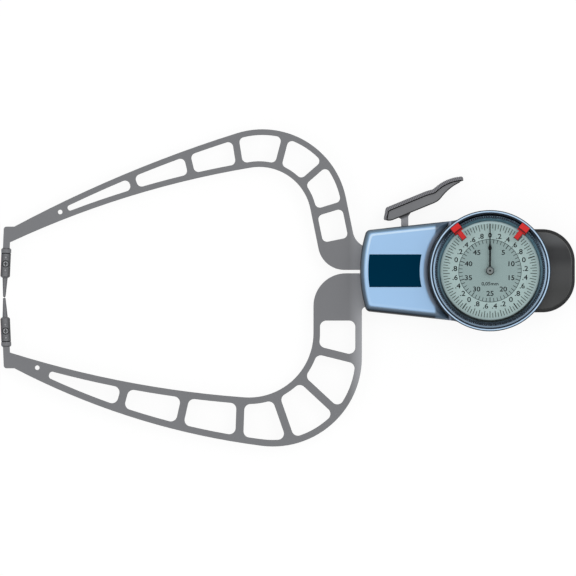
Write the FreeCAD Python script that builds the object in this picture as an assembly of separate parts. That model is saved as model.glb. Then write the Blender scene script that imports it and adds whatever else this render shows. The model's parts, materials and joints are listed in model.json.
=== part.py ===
import FreeCAD, Part
import math
import os
from collections import namedtuple

# External caliper gauge: a fixed arm and a finger-operated arm span the workpiece, and a gear train
# in the housing turns the opening of the arms into the reading of two concentric hands.
# The gauge lies on its flat back. X runs from the contact tips to the palm grip, Z out of the dial.
# The dial's axis meets the back at the origin. All sizes are millimetres, and all angles are degrees.

# Measuring geometry.
MEASURING_RANGE = 50.0     # opening between the tips for one turn of the short hand
THROAT_DEPTH = 169.2       # from the housing's nose to the contact tips
NOSE_TO_PIVOT = 9.8
PIVOT_RISE = 4.6           # the arm's pivot lies this far above the gauge's long axis
CONTACT_DROP = 12.7        # the tips meet this far below the gauge's long axis
CONTACT_GAP = 0.2          # light that shows between the closed tips

# Gear train.
PINION_TEETH = 10
SECTOR_MODULE = 0.35
WHEEL_MODULE = 0.2
LONG_HAND_RATIO = 10       # turns of the long hand for one of the short hand
TRANSFER_TEETH = 22
SPARE_TEETH = 3            # teeth of the sector past each end of its travel
TOOTH_PLAY = 0.16          # backlash, in modules

# Arms.
ARM_T = 4.0
ARM_MID = 11.0             # height of the arms' middle plane above the back
HEEL_HEIGHT = 33.7         # from the contact to the heel's flat top
CROTCH_HEIGHT = 26.2       # from the contact to the inner edge of the arm
HEEL_LENGTH = 4.8
HEEL_ROUND = 1.3
PRONG_WIDTH = 3.2
TIP_LEAN = 2.4             # the tips lean away from the throat
SMALL_HOLE_R = 1.1

# Contact tips, along their own axis from the contact outwards.
TIP_LENGTH = 9.4
TIP_BALL_R = 0.65
TIP_ROOT_R = 1.25
TIP_SHANK_R = 1.1
TIP_SHANK_LENGTH = 4.0
HOLDER_R = 2.3
HOLDER_LENGTH = 11.8
HOLDER_CHAMFER = 0.7
HOLDER_TOP_CHAMFER = 0.3
COLLAR_R = 2.4
COLLAR_LENGTH = 2.3
COLLAR_CHAMFER = 0.6
SPIGOT_R = 1.3
SPIGOT_LENGTH = 5.2
TIP_SCREW_HEIGHT = 6.6     # above the holder's lower end
TIP_SCREW_HEAD_R = 1.45
TIP_SCREW_HEAD_T = 0.7
TIP_SCREW_R = 0.8
TIP_SCREW_SLOT = 0.45
TIP_SCREW_SLOT_LENGTH = 1.9
DIMPLE_R = 0.55
DIMPLE_DEPTH = 0.4
DIMPLE_OFFSET = 3.1

# Housing, from the back forwards.
REAR_COVER_T = 2.5
GASKET_T = 0.5
HOUSING_DEPTH = 18.0
WALL = 2.2
FRONT_WALL = 2.0
NOSE_HALF_HEIGHT = 19.3    # half height where the sides meet the nose
SIDE_FLARE = 6.2           # each side opens by this angle towards the dial
NOSE_CORNER_R = 2.6
WAIST_R = 12.0             # hollow round where the sides run into the dial's round body
FRONT_COVER_T = 4.5
FRONT_COVER_GAP = 0.5      # between the front cover's end and the bezel
FRONT_COVER_ROUND = 2.5    # stays under the round of the nose's corners
FRONT_COVER_END_ROUND = 3.2
FRONT_COVER_TAIL = 9.0     # the cover's sides end this far behind the bezel's left edge
LABEL_HALF_HEIGHT = 7.8
LABEL_MARGIN = 3.9         # from the nose to the label
LABEL_END_MARGIN = 4.1     # from the cover's round end to the label
LABEL_T = 0.5
LABEL_PROUD = 0.1
LABEL_PLAY = 0.05
GRIP_DEPTH = 11.9          # from the dial's round body to the end of the palm grip
GRIP_HALF_HEIGHT = 19.8
GRIP_CORNER_R = 15.5
GRIP_TOP = 20.2
GRIP_ROUND = 1.2
GRIP_BACK_ROUND = 3.0
GRIP_PANEL_INSET = 1.5     # from the grip's outline to its raised front panel
GRIP_PANEL_T = 0.5
GRIP_PANEL_CHAMFER = 0.4
GRIP_WALL = 2.0
GRIP_CLEARANCE = 0.1
BACK_CHAMFER = 0.6
GASKET_SETBACK = 0.3
GASKET_OVERLAP = 0.2

# Dial, bezel and hands.
BEZEL_R = 28.8
BEZEL_OVERHANG = 0.3       # of the bezel over the dial's round body
BEZEL_WALL = 1.15          # of the skirt round the boss
BEZEL_SHOULDER = 3.0       # from the bezel's outside to the bore that holds the dial and the crystal
BEZEL_LIP = 0.8            # of the lip over the crystal
BEZEL_LIP_T = 0.25
BEZEL_RIM = 1.25           # width of the polished rim
BEZEL_RIM_ROUND = 0.45
BEZEL_FOOT = 0.3
BEZEL_STEP = 0.25          # the slope ends this much below the rim
BEZEL_CREST_HEIGHT = 1.1   # of the rim above the ribbed ring
BEZEL_RING_WIDTH = 1.15    # of the ribbed ring inside the slope
BOSS_WALL = 2.8
BOSS_HEIGHT = 3.0
BEZEL_SEAL_T = 0.55
SNAP_RING_T = 0.8
SNAP_RING_WIDTH = 0.9
SNAP_RING_HEIGHT = 1.1     # above the housing's front
RING_PLAY = 0.1
RUNNING = 0.05             # clearance of parts that turn in or round each other
BEZEL_LIFT = 0.3           # clearance between the bezel and the housing's front
DIAL_T = 0.6
RETAINER_T = 0.7
RETAINER_DEPTH = 0.35      # of the retainer's groove in the bezel
RETAINER_WIDTH = 1.45
RETAINER_LIFT = 0.35       # of the retainer above the bezel's ledge
FLANGE_HEIGHT = 3.4
FLANGE_SPREAD = 1.35       # the flange narrows by this towards the dial
FLANGE_FOOT = 0.4
FLANGE_NOTCH = 0.6         # width of the two small notches that line the dial up
CRYSTAL_GASKET_T = 0.5
CRYSTAL_T = 1.5
MARKER_ANGLE = 38.5        # each tolerance marker stands this far from the top of the dial
MARKER_WIDTH = 4.5
MARKER_T = 1.1
MARKER_HEAD = 3.1          # length of the head's flat top
MARKER_FACET = 0.9         # length of the steep face between the head and the tongue
MARKER_TONGUE_LENGTH = 3.9
MARKER_TONGUE_WIDTH = 2.3
MARKER_TONGUE_T = 0.8
MARKER_GROOVE_WIDTH = 0.5
MARKER_GROOVE_DEPTH = 0.6
HAND_GAP = 1.0             # between the dial and the short hand, and between the hands
LONG_HAND_SHORTFALL = 1.2  # from the long hand's point to the flange
LONG_HAND_WIDTH = 0.8
LONG_HAND_POINT_WIDTH = 0.4
SHORT_HAND_LENGTH = 13.6
SHORT_HAND_WIDTH = 0.8
SHORT_HAND_SPADE_R = 0.75
SHORT_HAND_POINT = 2.6     # from the middle of the spade to the hand's point
HAND_T = 0.3
HAND_BOSS_R = 1.95
HAND_BOSS_T = 0.6
DIAL_HOLE_PLAY = 0.9

# Shafts and small parts.
SHAFT_R = 2.5
BUSH_WALL = 1.4
BUSH_PLAY = 0.02
HUB_R = 6.2
HUB_CLEARANCE = 0.7
BRIDGE_T = 2.0
SECTOR_T = 1.4
PLATE_T = 1.5
PLATE_CLEARANCE = 5.5      # between the movement's plates and the housing's wall
PILLAR_R = 1.8
PILLAR_INSET = 2.2         # from the edge of the plates to the middles of the pillars
SCREW_R = 1.0
SCREW_HEAD_R = 1.9
SCREW_HEAD_T = 1.2
SOCKET_R = 0.95
SOCKET_DEPTH = 0.8
ARBOR_R = 0.9
CENTRE_ARBOR_R = 0.5
HAND_TUBE_R = 1.1
WHEEL_T = 0.8
STEM_WIDTH = 3.4
STEM_TOP_RISE = 26.0       # top of the lever's stem above the pivot
STEM_SHIFT = 11.5          # the stem stands this far behind the pivot
STEM_FLARE = 1.4           # the stem widens by this on each side where it meets the lever
LEVER_WIDTH = 12.0
LEVER_PAD_WIDTH = 13.0
SLOT_CLEARANCE = 0.4


def vec(x, y, z=0.0):
    return FreeCAD.Vector(x, y, z)


def turn(degrees):
    """Unit vector in the XY plane at this angle from +X."""
    return vec(math.cos(math.radians(degrees)), math.sin(math.radians(degrees)))


def heading(direction):
    """Angle of a direction in the XY plane from +X."""
    return math.degrees(math.atan2(direction.y, direction.x))


# Places that follow from the driving sizes.
AXIS = vec(0, 0, 1)
CENTRE = vec(0, 0)
REACH = THROAT_DEPTH + NOSE_TO_PIVOT
TIP_RADIUS = math.hypot(REACH, PIVOT_RISE + CONTACT_DROP)
OPENING = 2 * math.degrees(math.asin(MEASURING_RANGE / 2 / TIP_RADIUS))
SECTOR_TEETH = PINION_TEETH * 360.0 / OPENING      # teeth that a whole circle of the sector would have
SECTOR_R = SECTOR_MODULE * SECTOR_TEETH / 2
SECTOR_DISTANCE = SECTOR_R + SECTOR_MODULE * PINION_TEETH / 2
WHEEL_TEETH = PINION_TEETH * LONG_HAND_RATIO
WHEEL_DISTANCE = WHEEL_MODULE * (WHEEL_TEETH + PINION_TEETH) / 2
TRANSFER_MODULE = WHEEL_DISTANCE / TRANSFER_TEETH
PIVOT_DISTANCE = SECTOR_DISTANCE + WHEEL_DISTANCE
PIVOT = vec(-math.sqrt(PIVOT_DISTANCE ** 2 - PIVOT_RISE ** 2), PIVOT_RISE)
ARBOR = PIVOT * (WHEEL_DISTANCE / PIVOT_DISTANCE)
TRAIN_ANGLE = math.degrees(math.atan2(-PIVOT.y, -PIVOT.x))
NOSE_X = PIVOT.x - NOSE_TO_PIVOT
NOSE_R = -NOSE_X
CONTACT_X = NOSE_X - THROAT_DEPTH

DIAL_BODY_R = BEZEL_R - BEZEL_OVERHANG
BEZEL_SKIRT_R = BEZEL_R - BEZEL_WALL
BOSS_R = BEZEL_SKIRT_R - RUNNING
BEZEL_BORE_R = BEZEL_R - BEZEL_SHOULDER
BEZEL_LIP_R = BEZEL_BORE_R - BEZEL_LIP
BEZEL_GROOVE_R = BEZEL_R - BEZEL_RIM
BEZEL_CREST_R = BEZEL_GROOVE_R - MARKER_GROOVE_WIDTH
BEZEL_RING_R = BEZEL_LIP_R + BEZEL_RING_WIDTH
FLANGE_BOTTOM_R = BEZEL_LIP_R - FLANGE_SPREAD
LONG_HAND_LENGTH = FLANGE_BOTTOM_R - LONG_HAND_SHORTFALL
FRONT_COVER_END_R = BEZEL_R + FRONT_COVER_GAP
FRONT_COVER_STOP_X = FRONT_COVER_TAIL - BEZEL_R
LABEL_INNER_R = FRONT_COVER_END_R + LABEL_END_MARGIN
GRIP_REACH = DIAL_BODY_R + GRIP_DEPTH
PLATE_R = DIAL_BODY_R - WALL - PLATE_CLEARANCE
PILLAR_CIRCLE_R = PLATE_R - PILLAR_INSET

HOUSING_LOW = REAR_COVER_T + GASKET_T
HOUSING_TOP = HOUSING_LOW + HOUSING_DEPTH
CAVITY_TOP = HOUSING_TOP - FRONT_WALL
ARM_LOW = ARM_MID - ARM_T / 2
ARM_TOP = ARM_MID + ARM_T / 2
COVER_TOP = HOUSING_TOP + FRONT_COVER_T
BOSS_TOP = HOUSING_TOP + BOSS_HEIGHT
LEDGE = BOSS_TOP + BEZEL_SEAL_T + RUNNING
RETAINER_LOW = LEDGE + RETAINER_LIFT
DIAL_LOW = RETAINER_LOW + RETAINER_T
DIAL_TOP = DIAL_LOW + DIAL_T
FLANGE_TOP = DIAL_TOP + FLANGE_HEIGHT
CRYSTAL_LOW = FLANGE_TOP + CRYSTAL_GASKET_T
CRYSTAL_TOP = CRYSTAL_LOW + CRYSTAL_T
LIP_TOP = CRYSTAL_TOP + BEZEL_LIP_T
CREST = LIP_TOP + BEZEL_CREST_HEIGHT
SHORT_HAND_LOW = DIAL_TOP + HAND_GAP
LONG_HAND_LOW = SHORT_HAND_LOW + HAND_T + HAND_GAP

REAR_PLATE_LOW = HOUSING_LOW + 2.0
REAR_PLATE_TOP = REAR_PLATE_LOW + PLATE_T
FRONT_PLATE_LOW = CAVITY_TOP - PLATE_T
SECTOR_LOW = ARM_TOP
SECTOR_TOP = SECTOR_LOW + SECTOR_T
BRIDGE_LOW = HOUSING_LOW + 0.3
BRIDGE_TOP = BRIDGE_LOW + BRIDGE_T


def rod(place, radius, low, high):
    """Round bar along Z."""
    return Part.makeCylinder(radius, high - low, vec(place.x, place.y, low))


def pipe(place, outer, inner, low, high):
    return rod(place, outer, low, high).cut(rod(place, inner, low, high))


def prism(edges, low, high):
    """Plate between two heights, from the edges of its outline in the XY plane."""
    face = Part.Face(Part.Wire(edges))
    face.translate(vec(0, 0, low))
    return face.extrude(vec(0, 0, high - low))


def polygon(points):
    """Edges of a closed polygon."""
    return [Part.makeLine(a, b) for a, b in zip(points, points[1:] + points[:1])]


def line(a, b):
    return Part.makeLine(a, b)


def arc(centre, a, b):
    """The shorter arc from a to b about centre."""
    middle = ((a - centre) + (b - centre)).normalize() * (a - centre).Length
    return three_point_arc(a, centre + middle, b)


def three_point_arc(a, middle, b):
    return Part.Arc(a, middle, b).toShape()


def corner_round(before, corner, after, radius):
    """Start, centre and end of the round in a corner of a line."""
    back = (before - corner).normalize()
    ahead = (after - corner).normalize()
    half = back.getAngle(ahead) / 2
    reach = radius / math.tan(half)
    centre = corner + (back + ahead).normalize() * (radius / math.sin(half))
    return corner + back * reach, centre, corner + ahead * reach


def rounded_line(points, rounds):
    """Edges of a line through these points, with the corners between its ends rounded."""
    edges = []
    last = points[0]
    for before, corner, after, radius in zip(points, points[1:], points[2:], rounds):
        start, centre, end = corner_round(before, corner, after, radius)
        edges += [line(last, start), arc(centre, start, end)]
        last = end
    return edges + [line(last, points[-1])]


def crossing(a, b, c, d):
    """Where the line through a and b meets the line through c and d."""
    along = b - a
    other = d - c
    share = (c - a).cross(other).z / along.cross(other).z
    return a + along * share


def shifted(a, b, distance):
    """The line from a to b, moved to its right by this distance."""
    along = (b - a).normalize()
    aside = vec(along.y, -along.x) * distance
    return a + aside, b + aside


def turned(profile):
    """Solid of revolution about the dial's axis, from corners given as (radius, height)."""
    face = Part.Face(Part.Wire(polygon([vec(r, 0, z) for r, z in profile])))
    return face.revolve(CENTRE, AXIS, 360)


def bar(place, degrees, length, width, low, high):
    """Straight bar centred on place, its length at this angle from +X."""
    block = Part.makeBox(length, width, high - low, vec(-length / 2, -width / 2, low))
    block.rotate(CENTRE, AXIS, degrees)
    block.translate(vec(place.x, place.y))
    return block


def block_between(x1, y1, x2, y2, low, high):
    return Part.makeBox(x2 - x1, y2 - y1, high - low, vec(x1, y1, low))


def fused(shapes):
    whole = shapes[0]
    for shape in shapes[1:]:
        whole = whole.fuse(shape)
    return whole.removeSplitter()


def upright_edges(shape, chosen=lambda point: True):
    """Edges along Z where two faces meet at an angle, and whose place is chosen."""
    found = []
    for edge in shape.Edges:
        if len(edge.Vertexes) != 2 or not isinstance(edge.Curve, Part.Line):
            continue
        a, b = (v.Point for v in edge.Vertexes)
        if abs(a.x - b.x) + abs(a.y - b.y) > 1e-6 or not chosen(a):
            continue
        normals = []
        for face in shape.ancestorsOfType(edge, Part.Face):
            u, v = face.Surface.parameter((a + b) * 0.5)
            normals.append(face.normalAt(u, v))
        if len(normals) == 2 and abs(normals[0].dot(normals[1])) < 0.97:
            found.append(edge)
    return found


SHARE_OF_SIDE = 0.46       # a round takes at most this share of the side between two corners


def round_corners(shape, radius, chosen=lambda point: True):
    """Rounds the upright corners, less where two of them stand close together."""
    edges = upright_edges(shape, chosen)
    places = [e.Vertexes[0].Point for e in edges]
    for edge, place in zip(edges, places):
        near = min((vec(place.x - p.x, place.y - p.y).Length for p in places if p != place), default=1e3)
        limit = min(radius, SHARE_OF_SIDE * near)

        def same_place(point):
            return vec(point.x - place.x, point.y - place.y).Length < 1e-4

        shape = shape.makeFillet(limit, upright_edges(shape, same_place))
    return shape


def top_rim(shape, height, chosen=lambda edge: True):
    """Edges of the flat top at this height."""
    return [e for e in shape.Edges if min(v.Z for v in e.Vertexes) > height - 1e-6 and chosen(e)]


def bottom_rim(shape, height, chosen=lambda edge: True):
    """Edges of the flat bottom at this height."""
    return [e for e in shape.Edges if max(v.Z for v in e.Vertexes) < height + 1e-6 and chosen(e)]


# Arms.
Arm = namedtuple("Arm", "contact_y outer_corner outer_r outer_bow inner_corner inner_r inner_bow neck_tilt "
                        "root_top root_fillet root_gap heel_r rim rib window_round long_ribs corner_ribs "
                        "window_start window_end small_hole hole_shift")

# Both arms are drawn with the throat below them. Corners are given from the nose and the long axis,
# ribs along the arm by their distance from the contact, and ribs in the corner by their polar angle,
# each with its tilt.
UPPER_ARM = Arm(
    contact_y=-CONTACT_DROP,
    outer_corner=vec(NOSE_X - 46.4, 26.8), outer_r=40.5, outer_bow=615.0,
    inner_corner=vec(NOSE_X - 47.9, 24.6), inner_r=24.8, inner_bow=445.0,
    neck_tilt=11.5, root_top=11.0, root_fillet=8.9, root_gap=0.4, heel_r=12.6,
    rim=2.7, rib=3.3, window_round=2.4,
    long_ribs=((61.3, 20.0), (88.0, 13.5), (110.9, 9.0)),
    corner_ribs=((71.4, -14.7), (40.3, -49.0), (8.2, -73.0)),
    window_start=30.2, window_end=14.6, small_hole=26.6, hole_shift=0.0)
LOWER_ARM = Arm(
    contact_y=CONTACT_DROP,
    outer_corner=vec(NOSE_X - 41.4, 41.3), outer_r=42.3, outer_bow=350.0,
    inner_corner=vec(NOSE_X - 52.8, 29.6), inner_r=30.7, inner_bow=490.0,
    neck_tilt=0.0, root_top=17.2, root_fillet=2.0, root_gap=1.2, heel_r=15.5,
    rim=3.1, rib=3.8, window_round=3.0,
    long_ribs=((56.2, 15.5), (84.7, 12.6), (112.1, 2.0)),
    corner_ribs=((67.6, -19.2), (41.3, -47.2), (14.1, -76.0)),
    window_start=21.3, window_end=23.7, small_hole=15.7, hole_shift=-1.2)


def bow_centre(heel, corner, corner_r, bow_r):
    """Centre of the long bowed edge, which starts at the heel and runs smoothly into the corner's circle."""
    span = corner - heel
    along = (bow_r ** 2 - (bow_r - corner_r) ** 2 + span.Length ** 2) / (2 * span.Length)
    unit = span * (1 / span.Length)
    return heel + unit * along + vec(unit.y, -unit.x) * math.sqrt(bow_r ** 2 - along ** 2)


def tip_point(arm, height, side=0.0):
    """Point at this height on the tip's leaning axis, moved sideways towards the throat's closed end."""
    lean = math.radians(TIP_LEAN)
    up = vec(math.sin(lean), math.cos(lean))
    across = vec(math.cos(lean), -math.sin(lean))
    return vec(CONTACT_X, arm.contact_y) + up * height + across * side


def at_height(arm, side, height):
    """Point on a side of the prong at this height above the contact."""
    foot = tip_point(arm, 0, side)
    rise = arm.contact_y + height - foot.y
    return vec(foot.x + rise * math.tan(math.radians(TIP_LEAN)), foot.y + rise)


def arm_edges(arm, inset=0.0):
    """Points and centres of the arm's two long edges, moved inwards by inset from both."""
    heel = vec(CONTACT_X + HEEL_LENGTH, arm.contact_y + HEEL_HEIGHT)
    crotch = at_height(arm, PRONG_WIDTH / 2, CROTCH_HEIGHT)
    outer_bow = bow_centre(heel, arm.outer_corner, arm.outer_r, arm.outer_bow)
    inner_bow = bow_centre(crotch, arm.inner_corner, arm.inner_r, arm.inner_bow)
    across = turn(arm.neck_tilt)
    heel_out = (heel - outer_bow).normalize()
    crotch_out = (crotch - inner_bow).normalize()
    outer_out = (arm.outer_corner - outer_bow).normalize()
    inner_out = (arm.inner_corner - inner_bow).normalize()
    return {
        "heel": heel - heel_out * inset,
        "outer_bow": outer_bow,
        "outer_join": arm.outer_corner + outer_out * (arm.outer_r - inset),
        "outer_neck": arm.outer_corner + across * (arm.outer_r - inset),
        "crotch": crotch + crotch_out * inset,
        "inner_bow": inner_bow,
        "inner_join": arm.inner_corner + inner_out * (arm.inner_r + inset),
        "inner_neck": arm.inner_corner + across * (arm.inner_r + inset),
    }


def neck_round(arm, on_line, radius, height):
    """Centre of a round that touches a side of the neck and the level line at this height."""
    across = turn(arm.neck_tilt)
    reach = on_line.dot(across) + radius
    return vec((reach - (height + radius) * across.y) / across.x, height + radius)


def arm_outline(arm, root_x):
    """Edges of the whole arm, from the prong round the corner to the end of the root."""
    e = arm_edges(arm)
    across = turn(arm.neck_tilt)
    prong_end = TIP_LENGTH + HOLDER_LENGTH + COLLAR_LENGTH
    inside = tip_point(arm, prong_end, PRONG_WIDTH / 2)
    outside = tip_point(arm, prong_end, -PRONG_WIDTH / 2)
    heel_end = at_height(arm, -PRONG_WIDTH / 2, HEEL_HEIGHT)
    fillet = neck_round(arm, e["outer_neck"], arm.root_fillet, arm.root_top)
    hub = neck_round(arm, e["inner_neck"], arm.heel_r, arm.root_gap)
    fillet_start = fillet - across * arm.root_fillet
    fillet_end = vec(fillet.x, arm.root_top)
    hub_start = vec(hub.x, arm.root_gap)
    hub_end = hub - across * arm.heel_r
    root_top = vec(root_x, arm.root_top)
    root_low = vec(root_x, arm.root_gap)
    return [
        line(inside, outside), line(outside, heel_end), line(heel_end, e["heel"]),
        arc(e["outer_bow"], e["heel"], e["outer_join"]),
        arc(arm.outer_corner, e["outer_join"], e["outer_neck"]),
        line(e["outer_neck"], fillet_start), arc(fillet, fillet_start, fillet_end),
        line(fillet_end, root_top), line(root_top, root_low), line(root_low, hub_start),
        arc(hub, hub_start, hub_end), line(hub_end, e["inner_neck"]),
        arc(arm.inner_corner, e["inner_neck"], e["inner_join"]),
        arc(e["inner_bow"], e["inner_join"], e["crotch"]), line(e["crotch"], inside),
    ]


def middle_of_arm(arm, distance):
    """Point midway between the long edges, at this distance from the contact."""
    e = arm_edges(arm)
    x = CONTACT_X + distance
    outer = e["outer_bow"].y + math.sqrt(arm.outer_bow ** 2 - (x - e["outer_bow"].x) ** 2)
    inner = e["inner_bow"].y + math.sqrt(arm.inner_bow ** 2 - (x - e["inner_bow"].x) ** 2)
    return vec(x, (outer + inner) / 2)


def arm_windows(arm):
    """The openings between the arm's rims and ribs, as solids to cut out."""
    e = arm_edges(arm, arm.rim)
    across = turn(arm.neck_tilt)
    down = vec(across.y, -across.x)
    outer_end = e["outer_neck"] + down * arm.outer_r
    inner_end = e["inner_neck"] + down * arm.outer_r
    band = prism([
        arc(e["outer_bow"], e["heel"], e["outer_join"]),
        arc(arm.outer_corner, e["outer_join"], e["outer_neck"]),
        line(e["outer_neck"], outer_end), line(outer_end, inner_end), line(inner_end, e["inner_neck"]),
        arc(arm.inner_corner, e["inner_neck"], e["inner_join"]),
        arc(e["inner_bow"], e["inner_join"], e["crotch"]), line(e["crotch"], e["heel"]),
    ], ARM_LOW, ARM_TOP)
    depth = arm.outer_r
    start = middle_of_arm(arm, arm.window_start)
    slope = math.degrees(math.atan2(e["outer_join"].y - e["heel"].y, e["outer_join"].x - e["heel"].x))
    solid_parts = [bar(start - turn(slope) * depth, slope, 2 * depth, depth, ARM_LOW, ARM_TOP)]
    neck_middle = (outer_end + inner_end) * 0.5
    end = neck_middle - down * ((neck_middle.y - arm.window_end) / down.y)
    solid_parts.append(bar(end + down * depth, arm.neck_tilt, 2 * depth, 2 * depth, ARM_LOW, ARM_TOP))
    for distance, tilt in arm.long_ribs:
        solid_parts.append(bar(middle_of_arm(arm, distance), tilt, arm.rib, depth, ARM_LOW, ARM_TOP))
    ring = (arm.outer_r + arm.inner_r) / 2
    for angle, tilt in arm.corner_ribs:
        centre = arm.inner_corner + turn(angle) * ring
        solid_parts.append(bar(centre, tilt, arm.rib, depth, ARM_LOW, ARM_TOP))
    openings = band.cut(Part.makeCompound(solid_parts)).Solids
    return [round_corners(opening, arm.window_round) for opening in openings]


def round_bar(start, end, radius, radius_end=None):
    """Round bar or cone between two points in the arms' middle plane."""
    a, b = (vec(p.x, p.y, ARM_MID) for p in (start, end))
    if radius_end is None:
        return Part.makeCylinder(radius, (b - a).Length, a, b - a)
    return Part.makeCone(radius, radius_end, (b - a).Length, a, b - a)


def arm_plate(arm, root_x):
    """Flat truss arm with its collar and the spigot that carries the tip's holder."""
    plate = prism(arm_outline(arm, root_x), ARM_LOW, ARM_TOP)
    heel_y = arm.contact_y + HEEL_HEIGHT
    plate = round_corners(plate, HEEL_ROUND, lambda p: p.x < CONTACT_X + HEEL_LENGTH / 2 and p.y > heel_y - 1)
    for opening in arm_windows(arm):
        plate = plate.cut(opening)
    hole = middle_of_arm(arm, arm.small_hole) + vec(0, arm.hole_shift)
    plate = plate.cut(rod(hole, SMALL_HOLE_R, ARM_LOW, ARM_TOP))
    top = TIP_LENGTH + HOLDER_LENGTH
    shoulder = tip_point(arm, top + COLLAR_LENGTH - COLLAR_CHAMFER)
    collar = round_bar(tip_point(arm, top), shoulder, COLLAR_R)
    slope = round_bar(shoulder, tip_point(arm, top + COLLAR_LENGTH), COLLAR_R, COLLAR_R - COLLAR_CHAMFER)
    spigot = round_bar(tip_point(arm, top - SPIGOT_LENGTH), tip_point(arm, top), SPIGOT_R)
    return fused([plate, collar, slope, spigot])


def holder(arm):
    """Dark sleeve that joins the arm's spigot and the tip's shank, with its screw seat and dimples."""
    top = TIP_LENGTH + HOLDER_LENGTH
    low = tip_point(arm, TIP_LENGTH)
    shoulder = tip_point(arm, TIP_LENGTH + HOLDER_CHAMFER)
    neck = tip_point(arm, top - HOLDER_TOP_CHAMFER)
    high = tip_point(arm, top)
    body = fused([
        round_bar(low, shoulder, HOLDER_R - HOLDER_CHAMFER, HOLDER_R),
        round_bar(shoulder, neck, HOLDER_R),
        round_bar(neck, high, HOLDER_R, HOLDER_R - HOLDER_TOP_CHAMFER),
    ])
    body = body.cut(round_bar(tip_point(arm, top - SPIGOT_LENGTH), high, SPIGOT_R))
    body = body.cut(round_bar(low, tip_point(arm, TIP_LENGTH + TIP_SHANK_LENGTH), TIP_SHANK_R))
    seat = tip_point(arm, TIP_LENGTH + TIP_SCREW_HEIGHT)
    outside = ARM_MID + HOLDER_R
    body = body.cut(rod(seat, TIP_SCREW_HEAD_R + RUNNING, outside - TIP_SCREW_HEAD_T, outside + 1))
    body = body.cut(rod(seat, TIP_SCREW_R, ARM_MID + SPIGOT_R, outside))
    for side in (-DIMPLE_OFFSET, DIMPLE_OFFSET):
        place = tip_point(arm, TIP_LENGTH + TIP_SCREW_HEIGHT + side)
        body = body.cut(rod(place, DIMPLE_R, outside - DIMPLE_DEPTH, outside + 1))
    return body


def tip_screw(arm):
    """Clamping screw with a cross slot, square on the holder."""
    seat = tip_point(arm, TIP_LENGTH + TIP_SCREW_HEIGHT)
    outside = ARM_MID + HOLDER_R
    head_low = outside - TIP_SCREW_HEAD_T
    head = rod(seat, TIP_SCREW_HEAD_R, head_low, outside)
    shape = fused([head, rod(seat, TIP_SCREW_R, ARM_MID + SPIGOT_R, head_low)])
    slot_low = outside - TIP_SCREW_HEAD_T / 2
    for angle in (-TIP_LEAN, 90 - TIP_LEAN):
        shape = shape.cut(bar(seat, angle, TIP_SCREW_SLOT_LENGTH, TIP_SCREW_SLOT, slot_low, outside))
    return shape


def contact_tip(arm):
    """Tapered tip with a small ball end."""
    ball_height = TIP_BALL_R + CONTACT_GAP / 2
    ball_centre = tip_point(arm, ball_height)
    shank = round_bar(tip_point(arm, TIP_LENGTH), tip_point(arm, TIP_LENGTH + TIP_SHANK_LENGTH), TIP_SHANK_R)
    taper = round_bar(ball_centre, tip_point(arm, TIP_LENGTH), TIP_BALL_R, TIP_ROOT_R)
    ball = Part.makeSphere(TIP_BALL_R, vec(ball_centre.x, ball_centre.y, ARM_MID))
    return fused([shank, taper, ball])


def mirrored(shape):
    """The lower arm's pieces are drawn above the long axis and mirrored to their place below it."""
    return shape.mirror(CENTRE, vec(0, 1, 0))


# Moving arm and its hub.
def at_pivot(x=0.0, y=0.0):
    return PIVOT + vec(x, y)


def on_train(distance):
    """Place on the line of the gear train, at this distance from the pivot."""
    return PIVOT + turn(TRAIN_ANGLE + OPENING / 2) * distance


SECTOR_SCREWS = (on_train(8.4), on_train(12.6))
TAIL_LENGTH = 15.2
TAIL_LOW = 1.4
STEM_OVERLAP = 1.0


def moving_arm():
    """Truss arm, hub, tail that carries the gear sector, and the stem of the finger lever, in one plate."""
    plate = arm_plate(UPPER_ARM, PIVOT.x)
    tail_top = UPPER_ARM.root_top - PIVOT.y
    hub = rod(PIVOT, HUB_R, ARM_LOW, ARM_TOP)
    tail = prism(polygon([at_pivot(0, -TAIL_LOW), at_pivot(TAIL_LENGTH, -TAIL_LOW),
                          at_pivot(TAIL_LENGTH, tail_top), at_pivot(0, tail_top)]), ARM_LOW, ARM_TOP)
    stem_low = tail_top - 2 * STEM_OVERLAP
    stem_middle = at_pivot(STEM_SHIFT, (stem_low + STEM_TOP_RISE) / 2)
    stem = bar(stem_middle, 90, STEM_TOP_RISE - stem_low, STEM_WIDTH, ARM_LOW, ARM_TOP)
    plate = fused([plate, hub, tail, stem, stem_flare()]).cut(rod(PIVOT, SHAFT_R, ARM_LOW, ARM_TOP))
    for place in SECTOR_SCREWS:
        plate = plate.cut(rod(place, SCREW_R, ARM_LOW, ARM_TOP))
    return plate.cut(rod(LEVER_PIN, LEVER_PIN_R, ARM_LOW, ARM_TOP))


def under_lever(x):
    """Point on the straight part of the lever's underside, at this distance behind the pivot."""
    return crossing(LEVER_HEEL, LEVER_SOLE, at_pivot(x, 0), at_pivot(x, 1))


def stem_flare():
    """Widening at the top of the stem, cut to the slope of the lever's underside."""
    narrow = STEM_WIDTH / 2
    wide = narrow + STEM_FLARE
    down = vec(0, -STEM_FLARE)
    return prism(polygon([under_lever(STEM_SHIFT - narrow) + down, under_lever(STEM_SHIFT + narrow) + down,
                          under_lever(STEM_SHIFT + wide), under_lever(STEM_SHIFT - wide)]), ARM_LOW, ARM_TOP)


def fixed_arm():
    plate = mirrored(arm_plate(LOWER_ARM, FIXED_ROOT_X))
    plate = plate.cut(rod(PIVOT, HUB_R + HUB_CLEARANCE, ARM_LOW, ARM_TOP))
    for place in CLAMP_SCREWS:
        plate = plate.cut(rod(place, SCREW_R, ARM_LOW, ARM_TOP))
    for place in CLAMP_DOWELS:
        plate = plate.cut(rod(place, DOWEL_R, ARM_LOW, ARM_TOP))
    return plate


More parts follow.
